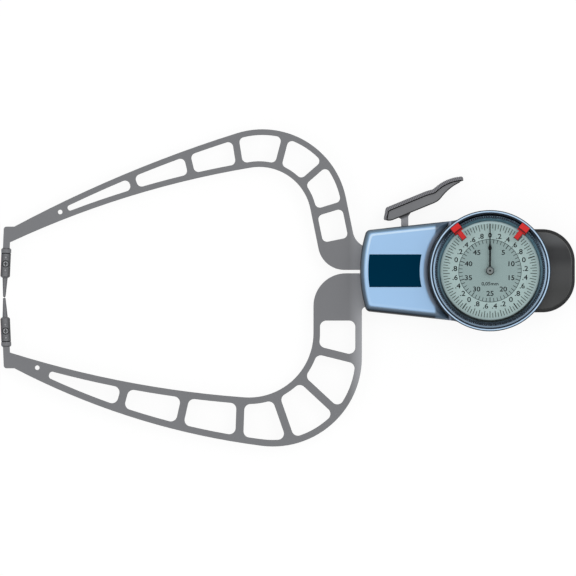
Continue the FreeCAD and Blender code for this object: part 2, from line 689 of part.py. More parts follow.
NUT_T = 2.0
NUT_SLOT = 1.0
NUT_SLOT_DEPTH = 0.8
SHAFT_COLLAR_R = 4.4
SHAFT_COLLAR_T = 1.6
SHAFT_SLOT = 0.6
SHAFT_END_PLAY = 0.1
FRONT_SKIN = 0.6           # left in front of the front bush
FRONT_BUSH_LENGTH = 3.4
FRONT_BUSH_TOP = HOUSING_TOP - FRONT_SKIN
FRONT_BUSH_LOW = FRONT_BUSH_TOP - FRONT_BUSH_LENGTH
BUSH_R = SHAFT_R + BUSH_PLAY + BUSH_WALL


def pivot_shaft():
    """Shaft with a collar over the gear sector and a driver's slot in its rear end."""
    shaft = fused([rod(PIVOT, SHAFT_R, BRIDGE_LOW, FRONT_BUSH_TOP - SHAFT_END_PLAY),
                   rod(PIVOT, SHAFT_COLLAR_R, SECTOR_TOP, SECTOR_TOP + SHAFT_COLLAR_T)])
    return shaft.cut(bar(PIVOT, 0, 3 * SHAFT_R, SHAFT_SLOT, BRIDGE_LOW, BRIDGE_LOW + SHAFT_SLOT))


def pivot_nut():
    """Round nut with four key slots, which clamps the arm and the sector against the shaft's collar."""
    nut = pipe(PIVOT, SHAFT_COLLAR_R, SHAFT_R, ARM_LOW - NUT_T, ARM_LOW)
    for angle in (0, 90, 180, 270):
        place = PIVOT + turn(angle) * SHAFT_COLLAR_R
        nut = nut.cut(bar(place, angle, 2 * NUT_SLOT_DEPTH, NUT_SLOT, ARM_LOW - NUT_T, ARM_LOW))
    return nut


def pivot_bush(low, high):
    return pipe(PIVOT, BUSH_R, SHAFT_R + BUSH_PLAY, low, high)


# Finger lever.
LEVER_LOW = ARM_MID - LEVER_WIDTH / 2
LEVER_HIGH = ARM_MID + LEVER_WIDTH / 2
LEVER_PIN_R = 0.8
LEVER_PIN = at_pivot(STEM_SHIFT, 23.4)
LEVER_PIN_TOP = LEVER_HIGH - 1.5
PAD_T = 1.9
PAD_FRONT_T = 1.5
PAD_CORNER_R = 1.3
SERRATION = 0.8
SERRATION_WIDTH = 0.4

# Corners of the lever's side view, the pad included, from the foot of its front round to the sole.
LEVER_FOOT = at_pivot(1.4, 19.5)
LEVER_FRONT = at_pivot(2.5, 25.4)
LEVER_DIP = at_pivot(22.2, 33.5)
LEVER_RISE = at_pivot(24.9, 34.1)
LEVER_CREST = at_pivot(30.8, 39.5)
LEVER_END = at_pivot(39.0, 40.3)
LEVER_TAIL = at_pivot(39.5, 38.5)
LEVER_HOLLOW = at_pivot(32.6, 35.2)
LEVER_HEEL = at_pivot(27.4, 28.6)
LEVER_SOLE = at_pivot(5.0, 19.4)
LEVER_DIP_R = 25.0
LEVER_RISE_R = 3.0
LEVER_CREST_R = 20.0
LEVER_CORNERS = (
    (LEVER_FOOT, 0.7), (LEVER_FRONT, 1.5), (LEVER_DIP, LEVER_DIP_R), (LEVER_RISE, LEVER_RISE_R),
    (LEVER_CREST, LEVER_CREST_R), (LEVER_END, 1.0), (LEVER_TAIL, 1.0), (LEVER_HOLLOW, 24.0),
    (LEVER_HEEL, 8.0), (LEVER_SOLE, 5.0),
)


def lever_side(low, high):
    """The whole lever: flat finger rest, a rise that stops the finger, and a hollow underside."""
    start = (LEVER_SOLE + LEVER_FOOT) * 0.5
    points = [start] + [place for place, radius in LEVER_CORNERS] + [start]
    return prism(rounded_line(points, [radius for place, radius in LEVER_CORNERS]), low, high)


def pad_band(low, high):
    """Region of the finger pad: down the front, along the finger rest and over the rise."""
    front = shifted(LEVER_FOOT, LEVER_FRONT, PAD_FRONT_T)
    rest = shifted(LEVER_FRONT, LEVER_DIP, PAD_T)
    slope = shifted(LEVER_DIP, LEVER_RISE, PAD_T)
    rise = shifted(LEVER_RISE, LEVER_CREST, PAD_T)
    crest = shifted(LEVER_CREST, LEVER_END, PAD_T)
    down = (LEVER_FOOT - LEVER_FRONT).normalize() * LEVER_WIDTH
    past = (LEVER_END - LEVER_CREST).normalize() * LEVER_WIDTH
    start = front[0] + down
    end = crest[1] + past
    lines = [front, rest, slope, rise, crest]
    corners = [crossing(*one, *other) for one, other in zip(lines, lines[1:])]
    rounds = [PAD_CORNER_R, LEVER_DIP_R - PAD_T, LEVER_RISE_R + PAD_T, LEVER_CREST_R - PAD_T]
    far_end = vec(end.x, LEVER_END.y + LEVER_WIDTH)
    far_start = vec(start.x - LEVER_WIDTH, far_end.y)
    outside = [end, far_end, far_start, vec(far_start.x, start.y), start]
    edges = rounded_line([start] + corners + [end], rounds)
    return prism(edges + [line(a, b) for a, b in zip(outside, outside[1:])], low, high)


def lever_grip():
    """Body of the lever, with the blind slot that takes the arm's stem and the pin's hole."""
    body = lever_side(LEVER_LOW, LEVER_HIGH).cut(pad_band(LEVER_LOW, LEVER_HIGH))
    stem_middle = at_pivot(STEM_SHIFT, STEM_TOP_RISE / 2)
    body = body.cut(bar(stem_middle, 90, STEM_TOP_RISE, STEM_WIDTH, ARM_LOW, ARM_TOP))
    return body.cut(lever_pin())


def lever_pad():
    """Soft pad a little wider than the lever's body, with cross serrations on its rise."""
    low = ARM_MID - LEVER_PAD_WIDTH / 2
    high = ARM_MID + LEVER_PAD_WIDTH / 2
    pad = lever_side(low, high).common(pad_band(low, high))
    radius = LEVER_CREST_R
    start, centre, end = corner_round(LEVER_RISE, LEVER_CREST, LEVER_END, radius)
    first = heading(start - centre)
    sweep = first - heading(end - centre)
    count = int(radius * math.radians(sweep) / SERRATION)
    for i in range(count):
        angle = first - sweep * (i + 0.5) / count
        groove = bar(centre + turn(angle) * radius, angle + 45, SERRATION_WIDTH, SERRATION_WIDTH, low, high)
        pad = pad.cut(groove)
    return pad


def lever_pin():
    return rod(LEVER_PIN, LEVER_PIN_R, LEVER_LOW, LEVER_PIN_TOP)


# Gears.
PRESSURE_ANGLE = 25.0
WHEEL_TIP = 0.85           # heights of the teeth over and under the pitch circle, in modules
PINION_TIP = 1.0
ROOT_CLEARANCE = 0.25


def involute(angle):
    return math.tan(angle) - angle


def tooth(place, module, teeth, at_angle, tip, root, steps):
    """Corners of one tooth, from the root on its right to the root on its left. Its flanks are involutes."""
    pitch_r = module * teeth / 2
    base_r = pitch_r * math.cos(math.radians(PRESSURE_ANGLE))
    half = (math.pi - TOOTH_PLAY) / (2 * teeth) + involute(math.radians(PRESSURE_ANGLE))
    low_r = pitch_r - root * module
    start_r = max(base_r, low_r)
    high_r = pitch_r + tip * module
    flank = [] if base_r <= low_r else [(low_r, half)]
    for i in range(steps + 1):
        r = start_r + (high_r - start_r) * i / steps
        flank.append((r, half - involute(math.acos(base_r / r))))
    right = [place + turn(at_angle - math.degrees(a)) * r for r, a in flank]
    left = [place + turn(at_angle + math.degrees(a)) * r for r, a in reversed(flank)]
    return right + left


def gear(place, module, teeth, first_tooth, tip, root, low, high, steps=3):
    """Whole wheel, one of whose teeth stands at the angle first_tooth."""
    points = []
    for i in range(teeth):
        points += tooth(place, module, teeth, first_tooth + i * 360.0 / teeth, tip, root, steps)
    return prism(polygon(points), low, high)


SECTOR_RIM = 3.6
SECTOR_HUB_EDGE = 0.6
SECTOR_FORK_R = 13.2       # where the stem parts into two spokes
SECTOR_STEM_WIDTH = 5.4
SECTOR_SPOKE_WIDTH = 2.4
SECTOR_SPREAD = 0.34       # each spoke leans out by this share of the sector's angle


def sector_spoke(start, end, width):
    return bar((start + end) * 0.5, heading(end - start), (end - start).Length, width, SECTOR_LOW, SECTOR_TOP)


def sector_gear():
    """Toothed rim on two spokes and a hub, clamped on the arm's tail by two screws."""
    root = PINION_TIP + ROOT_CLEARANCE
    pitch_angle = 360.0 / SECTOR_TEETH
    count = int(OPENING / pitch_angle + 0.5) + 1 + 2 * SPARE_TEETH
    points = []
    for i in range(count):
        angle = TRAIN_ANGLE + (i - SPARE_TEETH) * pitch_angle
        points += tooth(PIVOT, SECTOR_MODULE, SECTOR_TEETH, angle, WHEEL_TIP, root, 1)
    low_angle = TRAIN_ANGLE - (SPARE_TEETH + 0.5) * pitch_angle
    high_angle = low_angle + count * pitch_angle
    rim_r = SECTOR_R - SECTOR_RIM
    points = [PIVOT + turn(low_angle) * rim_r] + points + [PIVOT + turn(high_angle) * rim_r]
    rim = prism(polygon(points), SECTOR_LOW, SECTOR_TOP)
    middle = (low_angle + high_angle) / 2
    fork = PIVOT + turn(middle) * SECTOR_FORK_R
    spokes = [sector_spoke(PIVOT, fork + turn(middle) * SECTOR_STEM_WIDTH / 2, SECTOR_STEM_WIDTH)]
    for side in (-1, 1):
        spread = middle + side * (high_angle - low_angle) * SECTOR_SPREAD
        spokes.append(sector_spoke(fork, PIVOT + turn(spread) * (rim_r + SECTOR_RIM / 3), SECTOR_SPOKE_WIDTH))
    hub = rod(PIVOT, SHAFT_COLLAR_R + SECTOR_HUB_EDGE, SECTOR_LOW, SECTOR_TOP)
    body = fused([rim, hub] + spokes).cut(rod(PIVOT, SHAFT_R, SECTOR_LOW, SECTOR_TOP))
    for place in SECTOR_SCREWS:
        body = body.cut(rod(place, SCREW_R, SECTOR_LOW, SECTOR_TOP))
    return body


WHEEL_LOW = 9.2
PINION_MARGIN = 0.3        # each pinion reaches past its wheel by this on both sides
WHEEL_TOP = WHEEL_LOW + WHEEL_T
WHEEL_RIM = 1.5
WHEEL_SPOKES = 5
WHEEL_SPOKE_WIDTH = 1.1
WHEEL_HUB_R = 2.2
TRANSFER_LOW = SECTOR_TOP + 1.0
TRANSFER_TOP = TRANSFER_LOW + WHEEL_T
ARBOR_PIVOT_R = 0.5
PIVOT_PLAY = 0.02
SHOULDER_PLAY = 0.2
ARBOR_LOW = REAR_PLATE_LOW + PINION_MARGIN
ARBOR_HIGH = FRONT_PLATE_LOW + PLATE_T - PINION_MARGIN
MESH_AT = TRAIN_ANGLE + 180.0


def pinion(place, module, low, high):
    """Ten-leaf pinion, one gap of which stands towards the pivot of the arm."""
    return gear(place, module, PINION_TEETH, MESH_AT + 180.0 / PINION_TEETH, PINION_TIP,
                WHEEL_TIP + ROOT_CLEARANCE, low - PINION_MARGIN, high + PINION_MARGIN)


def pinion_arbor():
    """Arbor whose own pinion meets the sector; its ends are turned down to pivots."""
    return fused([pinion(ARBOR, SECTOR_MODULE, SECTOR_LOW, SECTOR_TOP),
                  rod(ARBOR, ARBOR_R, REAR_PLATE_TOP + SHOULDER_PLAY, FRONT_PLATE_LOW - SHOULDER_PLAY),
                  rod(ARBOR, ARBOR_PIVOT_R, ARBOR_LOW, ARBOR_HIGH)])


def intermediate_wheel():
    """Large wheel with spokes, on the arbor of the first pinion."""
    wheel = gear(ARBOR, WHEEL_MODULE, WHEEL_TEETH, TRAIN_ANGLE, WHEEL_TIP, PINION_TIP + ROOT_CLEARANCE,
                 WHEEL_LOW, WHEEL_TOP, 1)
    rim_r = WHEEL_MODULE * WHEEL_TEETH / 2 - WHEEL_RIM
    ring = pipe(ARBOR, rim_r, WHEEL_HUB_R, WHEEL_LOW, WHEEL_TOP)
    spokes = []
    for i in range(WHEEL_SPOKES):
        angle = i * 360.0 / WHEEL_SPOKES
        middle = ARBOR + turn(angle) * rim_r / 2
        spokes.append(bar(middle, angle, rim_r, WHEEL_SPOKE_WIDTH, WHEEL_LOW, WHEEL_TOP))
    wheel = wheel.cut(ring.cut(Part.makeCompound(spokes)))
    return wheel.cut(rod(ARBOR, ARBOR_R, WHEEL_LOW, WHEEL_TOP))


def transfer_gear(place, first_tooth, bore):
    wheel = gear(place, TRANSFER_MODULE, TRANSFER_TEETH, first_tooth, WHEEL_TIP, WHEEL_TIP + ROOT_CLEARANCE,
                 TRANSFER_LOW, TRANSFER_TOP, 2)
    return wheel.cut(rod(place, bore, TRANSFER_LOW, TRANSFER_TOP))


TUBE_BORE_R = CENTRE_ARBOR_R + RUNNING
TUBE_LOW = TRANSFER_LOW - 0.4
CENTRE_COLLAR_R = 1.2
CENTRE_COLLAR_T = 0.8
CENTRE_COLLAR_LOW = REAR_PLATE_TOP + SHOULDER_PLAY


def centre_arbor():
    """Arbor of the long hand, with the small pinion that the large wheel drives."""
    return fused([pinion(CENTRE, WHEEL_MODULE, WHEEL_LOW, WHEEL_TOP),
                  rod(CENTRE, CENTRE_ARBOR_R, ARBOR_LOW, LONG_HAND_LOW + HAND_T),
                  rod(CENTRE, CENTRE_COLLAR_R, CENTRE_COLLAR_LOW, CENTRE_COLLAR_LOW + CENTRE_COLLAR_T)])


def hand_tube():
    """Tube round the centre arbor, with the short hand's wheel on its foot."""
    wheel = transfer_gear(CENTRE, MESH_AT + 180.0 / TRANSFER_TEETH, TUBE_BORE_R)
    return fused([wheel, pipe(CENTRE, HAND_TUBE_R, TUBE_BORE_R, TUBE_LOW, SHORT_HAND_LOW + HAND_T)])


def long_hand():
    """Slim pointer with a round boss, pressed on the centre arbor."""
    low, high = LONG_HAND_LOW, LONG_HAND_LOW + HAND_T
    root = LONG_HAND_WIDTH / 2
    point = LONG_HAND_POINT_WIDTH / 2
    shoulder = LONG_HAND_LENGTH - point
    left = [vec(-root, 0), vec(-point, shoulder)]
    right = [vec(point, shoulder), vec(root, 0)]
    blade = prism(polygon(left + [vec(0, LONG_HAND_LENGTH)] + right), low, high)
    boss = rod(CENTRE, HAND_BOSS_R, low, high + HAND_BOSS_T)
    return fused([blade, boss]).cut(rod(CENTRE, CENTRE_ARBOR_R, low, high))


def short_hand():
    """Short pointer with a spade tip, pressed on the tube."""
    low, high = SHORT_HAND_LOW, SHORT_HAND_LOW + HAND_T
    spade_at = SHORT_HAND_LENGTH - SHORT_HAND_POINT
    blade = bar(vec(0, spade_at / 2), 90, spade_at, SHORT_HAND_WIDTH, low, high)
    spade = rod(vec(0, spade_at), SHORT_HAND_SPADE_R, low, high)
    touch = math.degrees(math.asin(SHORT_HAND_SPADE_R / SHORT_HAND_POINT))
    sides = [vec(0, spade_at) + turn(angle) * SHORT_HAND_SPADE_R for angle in (180 - touch, touch)]
    point = prism(polygon([sides[0], vec(0, SHORT_HAND_LENGTH), sides[1]]), low, high)
    boss = rod(CENTRE, HAND_BOSS_R, low, high)
    return fused([blade, spade, point, boss]).cut(rod(CENTRE, HAND_TUBE_R, low, high))


# Springs.
SPRING_WIRE = 0.7
HAIRSPRING_LOW = REAR_PLATE_TOP + 1.0
HAIRSPRING_T = 0.9
HAIRSPRING_TOP = HAIRSPRING_LOW + HAIRSPRING_T
HAIRSPRING_WIDTH = 0.16
HAIRSPRING_START_R = 1.7
HAIRSPRING_PITCH = 0.95
HAIRSPRING_TURNS = 5
HAIRSPRING_STEPS = 16      # points of the spiral in each turn
STUD_R = 0.8


def spiral_point(turns, side=0.0):
    r = HAIRSPRING_START_R + HAIRSPRING_PITCH * turns + side
    return ARBOR + turn(TRAIN_ANGLE + 90 + 360 * turns) * r


STUD = spiral_point(HAIRSPRING_TURNS, STUD_R + HAIRSPRING_WIDTH / 2)


def hairspring():
    """Flat spiral strip from the arbor's collet to the stud on the rear plate; it takes up the backlash."""
    turns = [i / HAIRSPRING_STEPS for i in range(HAIRSPRING_STEPS * HAIRSPRING_TURNS + 1)]
    inner = [spiral_point(t, -HAIRSPRING_WIDTH / 2) for t in turns]
    outer = [spiral_point(t, HAIRSPRING_WIDTH / 2) for t in turns]
    return prism(polygon(inner + outer[::-1]), HAIRSPRING_LOW, HAIRSPRING_TOP)


def hairspring_collet():
    outer = HAIRSPRING_START_R - HAIRSPRING_WIDTH / 2 - PIVOT_PLAY
    return pipe(ARBOR, outer, ARBOR_R, HAIRSPRING_LOW, HAIRSPRING_TOP)


def hairspring_stud():
    return rod(STUD, STUD_R, REAR_PLATE_TOP, HAIRSPRING_TOP + SHOULDER_PLAY)


RETURN_SPRING_R = 5.6
RETURN_SPRING_COILS = 3
RETURN_SPRING_GAP = 0.25
RETURN_SPRING_LOW = BRIDGE_TOP + 0.3
HOOK_REACH = 9.4
HOOK_GAP = 0.15
RISER_ANGLE = 20.0         # where the first coil rises to the second
RISER_STEP = 25.0
RISER_LENGTH = 1.6


def return_spring():
    """Torsion spring round the nut, between the bridge's lug and a hook under the arm's tail."""
    low = RETURN_SPRING_LOW
    step = SPRING_WIRE + RETURN_SPRING_GAP
    wire_r = RETURN_SPRING_R - SPRING_WIRE / 2
    levels = [low + i * step for i in range(RETURN_SPRING_COILS)]
    coils = [pipe(PIVOT, RETURN_SPRING_R, RETURN_SPRING_R - SPRING_WIRE, z, z + SPRING_WIRE) for z in levels]
    for i in range(RETURN_SPRING_COILS - 1):
        angle = RISER_ANGLE + RISER_STEP * i
        riser = PIVOT - turn(angle) * wire_r
        coils.append(bar(riser, angle, SPRING_WIRE, RISER_LENGTH, levels[i], levels[i + 1] + SPRING_WIRE))
    leg_x = BRIDGE_LUG.x + BRIDGE_LUG_R + SPRING_WIRE / 2
    leg_middle = vec(leg_x, (PIVOT.y + BRIDGE_LUG.y) / 2)
    leg = bar(leg_middle, 90, BRIDGE_LUG.y - PIVOT.y, SPRING_WIRE, low, low + SPRING_WIRE)
    top = levels[-1]
    hook_y = -TAIL_LOW - SPRING_WIRE / 2 - HOOK_GAP
    reach = HOOK_REACH - wire_r + 2 * SPRING_WIRE
    arm_leg = bar(at_pivot((wire_r + HOOK_REACH) / 2, hook_y), 0, reach, SPRING_WIRE, top, top + SPRING_WIRE)
    hook = bar(at_pivot(HOOK_REACH + SPRING_WIRE / 2, hook_y), 0, SPRING_WIRE, SPRING_WIRE, top, ARM_MID)
    return fused(coils + [leg, arm_leg, hook])


# Housing.
SIDE_NORMAL = turn(90 + SIDE_FLARE)
SIDE_ALONG = turn(SIDE_FLARE)
NOSE_CORNER = vec(-math.sqrt(NOSE_R ** 2 - NOSE_HALF_HEIGHT ** 2), NOSE_HALF_HEIGHT)
SIDE_LEVEL = NOSE_CORNER.dot(SIDE_NORMAL)
WAIST_REACH = DIAL_BODY_R + WAIST_R
WAIST_LEVEL = SIDE_LEVEL + WAIST_R
WAIST = SIDE_NORMAL * WAIST_LEVEL - SIDE_ALONG * math.sqrt(WAIST_REACH ** 2 - WAIST_LEVEL ** 2)

COVER_LUG_R = 2.5
COVER_LUG_TOP = ARM_LOW - 0.6
LUG_CLEARANCE = 0.3
LUG_INSET = 4.3            # of the lugs' middles from the housing's sides
DIAL_LUG_INSET = 3.8
DIAL_LUG_ANGLE = 34.8
NOSE_LUG = NOSE_CORNER + SIDE_ALONG * 2.5 - SIDE_NORMAL * LUG_INSET
NECK_LUG = WAIST - SIDE_NORMAL * (WAIST_R + LUG_INSET) - SIDE_ALONG * 4.0
DIAL_LUG = turn(DIAL_LUG_ANGLE) * (DIAL_BODY_R - DIAL_LUG_INSET)
LOWER_NOSE_LUG = vec(NOSE_LUG.x, -NOSE_LUG.y)
LOWER_NECK_LUG = vec(NECK_LUG.x, -NECK_LUG.y)
LOWER_DIAL_LUG = vec(DIAL_LUG.x, -DIAL_LUG.y)
COVER_SCREWS = (NOSE_LUG, LOWER_NOSE_LUG, NECK_LUG, LOWER_NECK_LUG, DIAL_LUG, LOWER_DIAL_LUG)
COVER_SCREW_LENGTH = 6.8
COVER_HEAD_LOW = 0.2
HEAD_PLAY = 0.1
HOLE_SPARE = 0.3           # a blind hole is this much deeper than what it takes

CLAMP_SCREWS = (at_pivot(1.1, -17.4), at_pivot(7.6, -11.8))
CLAMP_DOWELS = (at_pivot(-3.6, -11.4), at_pivot(7.4, -18.0))
CLAMP_SCREW_REACH = 4.0    # of the screws past the fixed arm
DOWEL_REACH = 2.8
DOWEL_R = 1.2
FIXED_ROOT_X = PIVOT.x + 11.0
SEAT_TOP_Y = -3.0
SEAT_MARGIN = 1.3          # of the seat past the fixed arm's root
SEAT_START = 3.0           # from the nose to the seat
CLAMP_MARGIN = 0.5         # from the edges of the arm's root to the clamp
CLAMP_START = 4.8          # from the nose to the clamp
SPRING_CLEARANCE = 1.0
BRIDGE_LUG = at_pivot(2.4, 10.1)
BRIDGE_LUG_R = 2.6
BRIDGE_WEB = 6.0           # length of the web between the bridge's lug and the side
BRIDGE_MARGIN = 3.0
BRIDGE_SCREW_LENGTH = 7.5
BEARING_WALL = 1.6
PILLAR_ANGLES = (45, 120, -120, -45)
PILLAR_SCREW_REACH = 2.8
PLATE_SCREW_ANGLES = (0, 90, -90)
PLATE_SCREW_REACH = 1.2
PLATE_WINDOW_R = 3.6
PLATE_WINDOW_AT = 11.5
PLATE_WINDOW_ANGLE = 20
GRIP_SCREW_ANGLES = (-24, 24)
GRIP_SCREW_LENGTH = 4.6
GRIP_SCREW_SUNK = 0.5      # of the heads into the housing's wall
GRIP_SOCKET_R = 0.8
ARM_SLOT_START = 0.5       # of the moving arm's slot under the arm's root
ARM_SLOT_SWING = 6.0       # of the same slot over the arm's root
ARM_SLOT_DEPTH = 5.0
ROOT_SLOT_PLAY = 0.45
LEVER_SLOT_PLAY = 1.1      # in front of the lever's stem
LEVER_SLOT_SWING = 7.2     # behind it
LEVER_SLOT_DEPTH = 12.0


def housing_edges(inset):
    """Outline of the housing seen from the front: nose, flared sides, waists and the dial's round body."""
    nose_r = NOSE_R - inset
    body_r = DIAL_BODY_R - inset
    level = SIDE_LEVEL - inset
    corner = SIDE_NORMAL * level - SIDE_ALONG * math.sqrt(nose_r ** 2 - level ** 2)
    side_end = WAIST - SIDE_NORMAL * (WAIST_R + inset)
    body_start = WAIST * (body_r / WAIST_REACH)

    def low(point):
        return vec(point.x, -point.y)

    return [
        three_point_arc(low(corner), vec(-nose_r, 0), corner), line(corner, side_end),
        arc(WAIST, side_end, body_start), three_point_arc(body_start, vec(body_r, 0), low(body_start)),
        arc(low(WAIST), low(body_start), low(side_end)), line(low(side_end), low(corner)),
    ]


def housing_prism(inset, low, high):
    block = prism(housing_edges(inset), low, high)
    return round_corners(block, NOSE_CORNER_R - inset, lambda p: p.x < PIVOT.x)


def housing_body():
    """Open-backed housing with a round boss for the bezel, lugs and the seat of the fixed arm."""
    body = housing_prism(0, HOUSING_LOW, HOUSING_TOP)
    cavity = housing_prism(WALL, HOUSING_LOW, CAVITY_TOP)
    body = body.cut(cavity)
    boss = pipe(CENTRE, BOSS_R, BOSS_R - BOSS_WALL, HOUSING_TOP, BOSS_TOP)
    lugs = [rod(place, COVER_LUG_R, HOUSING_LOW, COVER_LUG_TOP) for place in COVER_SCREWS]
    lugs.append(rod(BRIDGE_LUG, BRIDGE_LUG_R, BRIDGE_TOP, CAVITY_TOP))
    web = BRIDGE_LUG + vec(0, BRIDGE_WEB / 2)
    lugs.append(bar(web, 90, BRIDGE_WEB, BRIDGE_LUG_R * 1.6, BRIDGE_TOP, CAVITY_TOP))
    seat_low_y = -LOWER_ARM.root_top - SEAT_MARGIN
    seat = block_between(NOSE_X + SEAT_START, seat_low_y, FIXED_ROOT_X, SEAT_TOP_Y, ARM_TOP, CAVITY_TOP)
    bearing = rod(PIVOT, BUSH_R + BEARING_WALL, FRONT_BUSH_LOW, CAVITY_TOP)
    inside = Part.makeCompound(lugs + [seat, bearing])
    inside = inside.common(housing_prism(WALL / 2, HOUSING_LOW, CAVITY_TOP))
    body = fused([body, boss] + inside.Solids)
    return drill_housing(cut_slots(body))


def cut_slots(body):
    """Slots in the nose for both arms and in the upper side for the lever's stem."""
    low = ARM_LOW - SLOT_CLEARANCE
    high = ARM_TOP + SLOT_CLEARANCE
    upper, lower = UPPER_ARM, LOWER_ARM
    nose = block_between(NOSE_X - 1, upper.root_gap - ARM_SLOT_START, NOSE_X + ARM_SLOT_DEPTH,
                         upper.root_top + ARM_SLOT_SWING, low, high)
    root = block_between(NOSE_X - 1, -lower.root_top - ROOT_SLOT_PLAY, NOSE_X + ARM_SLOT_DEPTH + SEAT_START,
                         RUNNING - lower.root_gap, ARM_LOW, ARM_TOP)
    stem_front = PIVOT.x + STEM_SHIFT - STEM_WIDTH / 2
    stem_y = NOSE_HALF_HEIGHT - 2 * WALL
    stem = block_between(stem_front - LEVER_SLOT_PLAY, stem_y, stem_front + STEM_WIDTH + LEVER_SLOT_SWING,
                         stem_y + LEVER_SLOT_DEPTH, low, high)
    return body.cut(nose).cut(root).cut(stem)


def drill_housing(body):
    """Bores of the front bush, the hand tube, the screws and the dowels, and the groove of the snap ring."""
    body = body.cut(rod(PIVOT, BUSH_R, FRONT_BUSH_LOW, FRONT_BUSH_TOP))
    body = body.cut(rod(CENTRE, HAND_TUBE_R + DIAL_HOLE_PLAY, CAVITY_TOP, HOUSING_TOP))
    for place in COVER_SCREWS:
        body = body.cut(rod(place, SCREW_R, HOUSING_LOW, COVER_HEAD_LOW + COVER_SCREW_LENGTH + HOLE_SPARE))
    body = body.cut(rod(BRIDGE_LUG, SCREW_R, BRIDGE_TOP, BRIDGE_LOW + BRIDGE_SCREW_LENGTH + HOLE_SPARE))
    for place in CLAMP_SCREWS:
        body = body.cut(rod(place, SCREW_R, ARM_TOP, ARM_TOP + CLAMP_SCREW_REACH + HOLE_SPARE))
    for place in CLAMP_DOWELS:
        body = body.cut(rod(place, DOWEL_R, ARM_TOP, ARM_TOP + DOWEL_REACH + HOLE_SPARE))
    for angle in PLATE_SCREW_ANGLES:
        place = turn(angle) * PILLAR_CIRCLE_R
        body = body.cut(rod(place, SCREW_R, CAVITY_TOP, CAVITY_TOP + PLATE_SCREW_REACH + HOLE_SPARE))
    for angle in GRIP_SCREW_ANGLES:
        body = body.cut(grip_screw_body(angle))
    return body.cut(snap_ring_space())


COVER_EDGE = 0.05          # the cover's end round meets the flat front in a fine edge


def front_cover_end():
    """Space of the bezel before the cover, whose edge leaves the cover's end rounded."""
    mid_r = FRONT_COVER_END_R + FRONT_COVER_END_ROUND
    mid_z = COVER_TOP - FRONT_COVER_END_ROUND + COVER_EDGE
    reach = math.sqrt(FRONT_COVER_END_ROUND ** 2 - (COVER_TOP - mid_z) ** 2)
    above = COVER_TOP + FRONT_COVER_T
    start = vec(FRONT_COVER_END_R, 0, mid_z)
    middle = vec(mid_r, 0, mid_z) + vec(-1, 0, 1).normalize() * FRONT_COVER_END_ROUND
    end = vec(mid_r - reach, 0, COVER_TOP)
    axis = [vec(0, 0, above), vec(0, 0, HOUSING_TOP)]
    corners = [end, vec(end.x, 0, above)] + axis + [vec(start.x, 0, HOUSING_TOP), start]
    edges = [line(a, b) for a, b in zip(corners, corners[1:])]
    return Part.Face(Part.Wire([three_point_arc(start, middle, end)] + edges)).revolve(CENTRE, AXIS, 360)


def front_cover():
    """Raised cover with rounded edges over the gear sector, and the shallow recess of the label."""
    block = housing_prism(0, HOUSING_TOP, COVER_TOP)
    block = block.makeFillet(FRONT_COVER_ROUND, top_rim(block, COVER_TOP))
    block = block.cut(front_cover_end())
    block = block.cut(block_between(FRONT_COVER_STOP_X, -NOSE_R, NOSE_R, NOSE_R, HOUSING_TOP, COVER_TOP))
    block = max(block.Solids, key=lambda s: s.Volume)
    return block.cut(label_shape(COVER_TOP - LABEL_T + LABEL_PROUD, COVER_TOP + LABEL_T, 0.0))


def label_shape(low, high, inset):
    """Label with curved ends that follow the nose and the dial."""
    ring = pipe(CENTRE, NOSE_R - LABEL_MARGIN - inset, LABEL_INNER_R + inset, low, high)
    half = LABEL_HALF_HEIGHT - inset
    return ring.common(block_between(NOSE_X, -half, 0, half, low, high))


def label_plate():
    return label_shape(COVER_TOP - LABEL_T + LABEL_PROUD, COVER_TOP + LABEL_PROUD, LABEL_PLAY)


def screw(place, low, length):
    """Cylinder-headed screw that enters from the back, with a hexagon socket in its head."""
    head_top = low + SCREW_HEAD_T
    shape = fused([rod(place, SCREW_HEAD_R, low, head_top), rod(place, SCREW_R, head_top, low + length)])
    corners = [place + turn(60 * i) * SOCKET_R for i in range(6)]
    return shape.cut(prism(polygon(corners), low, low + SOCKET_DEPTH))


def rear_cover():
    """Flat cover on which the gauge lies, with counterbored screw holes."""
    cover = housing_prism(0, 0, REAR_COVER_T)
    cover = cover.makeChamfer(BACK_CHAMFER, bottom_rim(cover, 0))
    for place in COVER_SCREWS:
        cover = cover.cut(rod(place, SCREW_HEAD_R + HEAD_PLAY, 0, COVER_HEAD_LOW + SCREW_HEAD_T))
        cover = cover.cut(rod(place, SCREW_R + HEAD_PLAY, 0, REAR_COVER_T))
    return cover


def rear_cover_screws():
    return Part.makeCompound([screw(place, COVER_HEAD_LOW, COVER_SCREW_LENGTH) for place in COVER_SCREWS])


def rear_cover_gasket():
    """Flat gasket on the housing's rim, wider round the screw lugs."""
    low, high = REAR_COVER_T, HOUSING_LOW
    outside = housing_prism(GASKET_SETBACK, low, high)
    rim = outside.cut(housing_prism(WALL - GASKET_OVERLAP, low, high))
    eyes = Part.makeCompound([rod(place, COVER_LUG_R, low, high) for place in COVER_SCREWS]).common(outside)
    gasket = fused([rim] + eyes.Solids)
    for place in COVER_SCREWS:
        gasket = gasket.cut(rod(place, SCREW_R + HEAD_PLAY, low, high))
    return gasket


def grip_block(inset, low, high):
    """Palm grip seen from the front, without the hollow round the dial's body."""
    half = GRIP_HALF_HEIGHT - inset
    block = block_between(0, -half, GRIP_REACH - inset, half, low, high)
    return round_corners(block, GRIP_CORNER_R - inset, lambda p: p.x > GRIP_WALL)


def behind_dial(edge):
    return max(v.X for v in edge.Vertexes) > GRIP_WALL


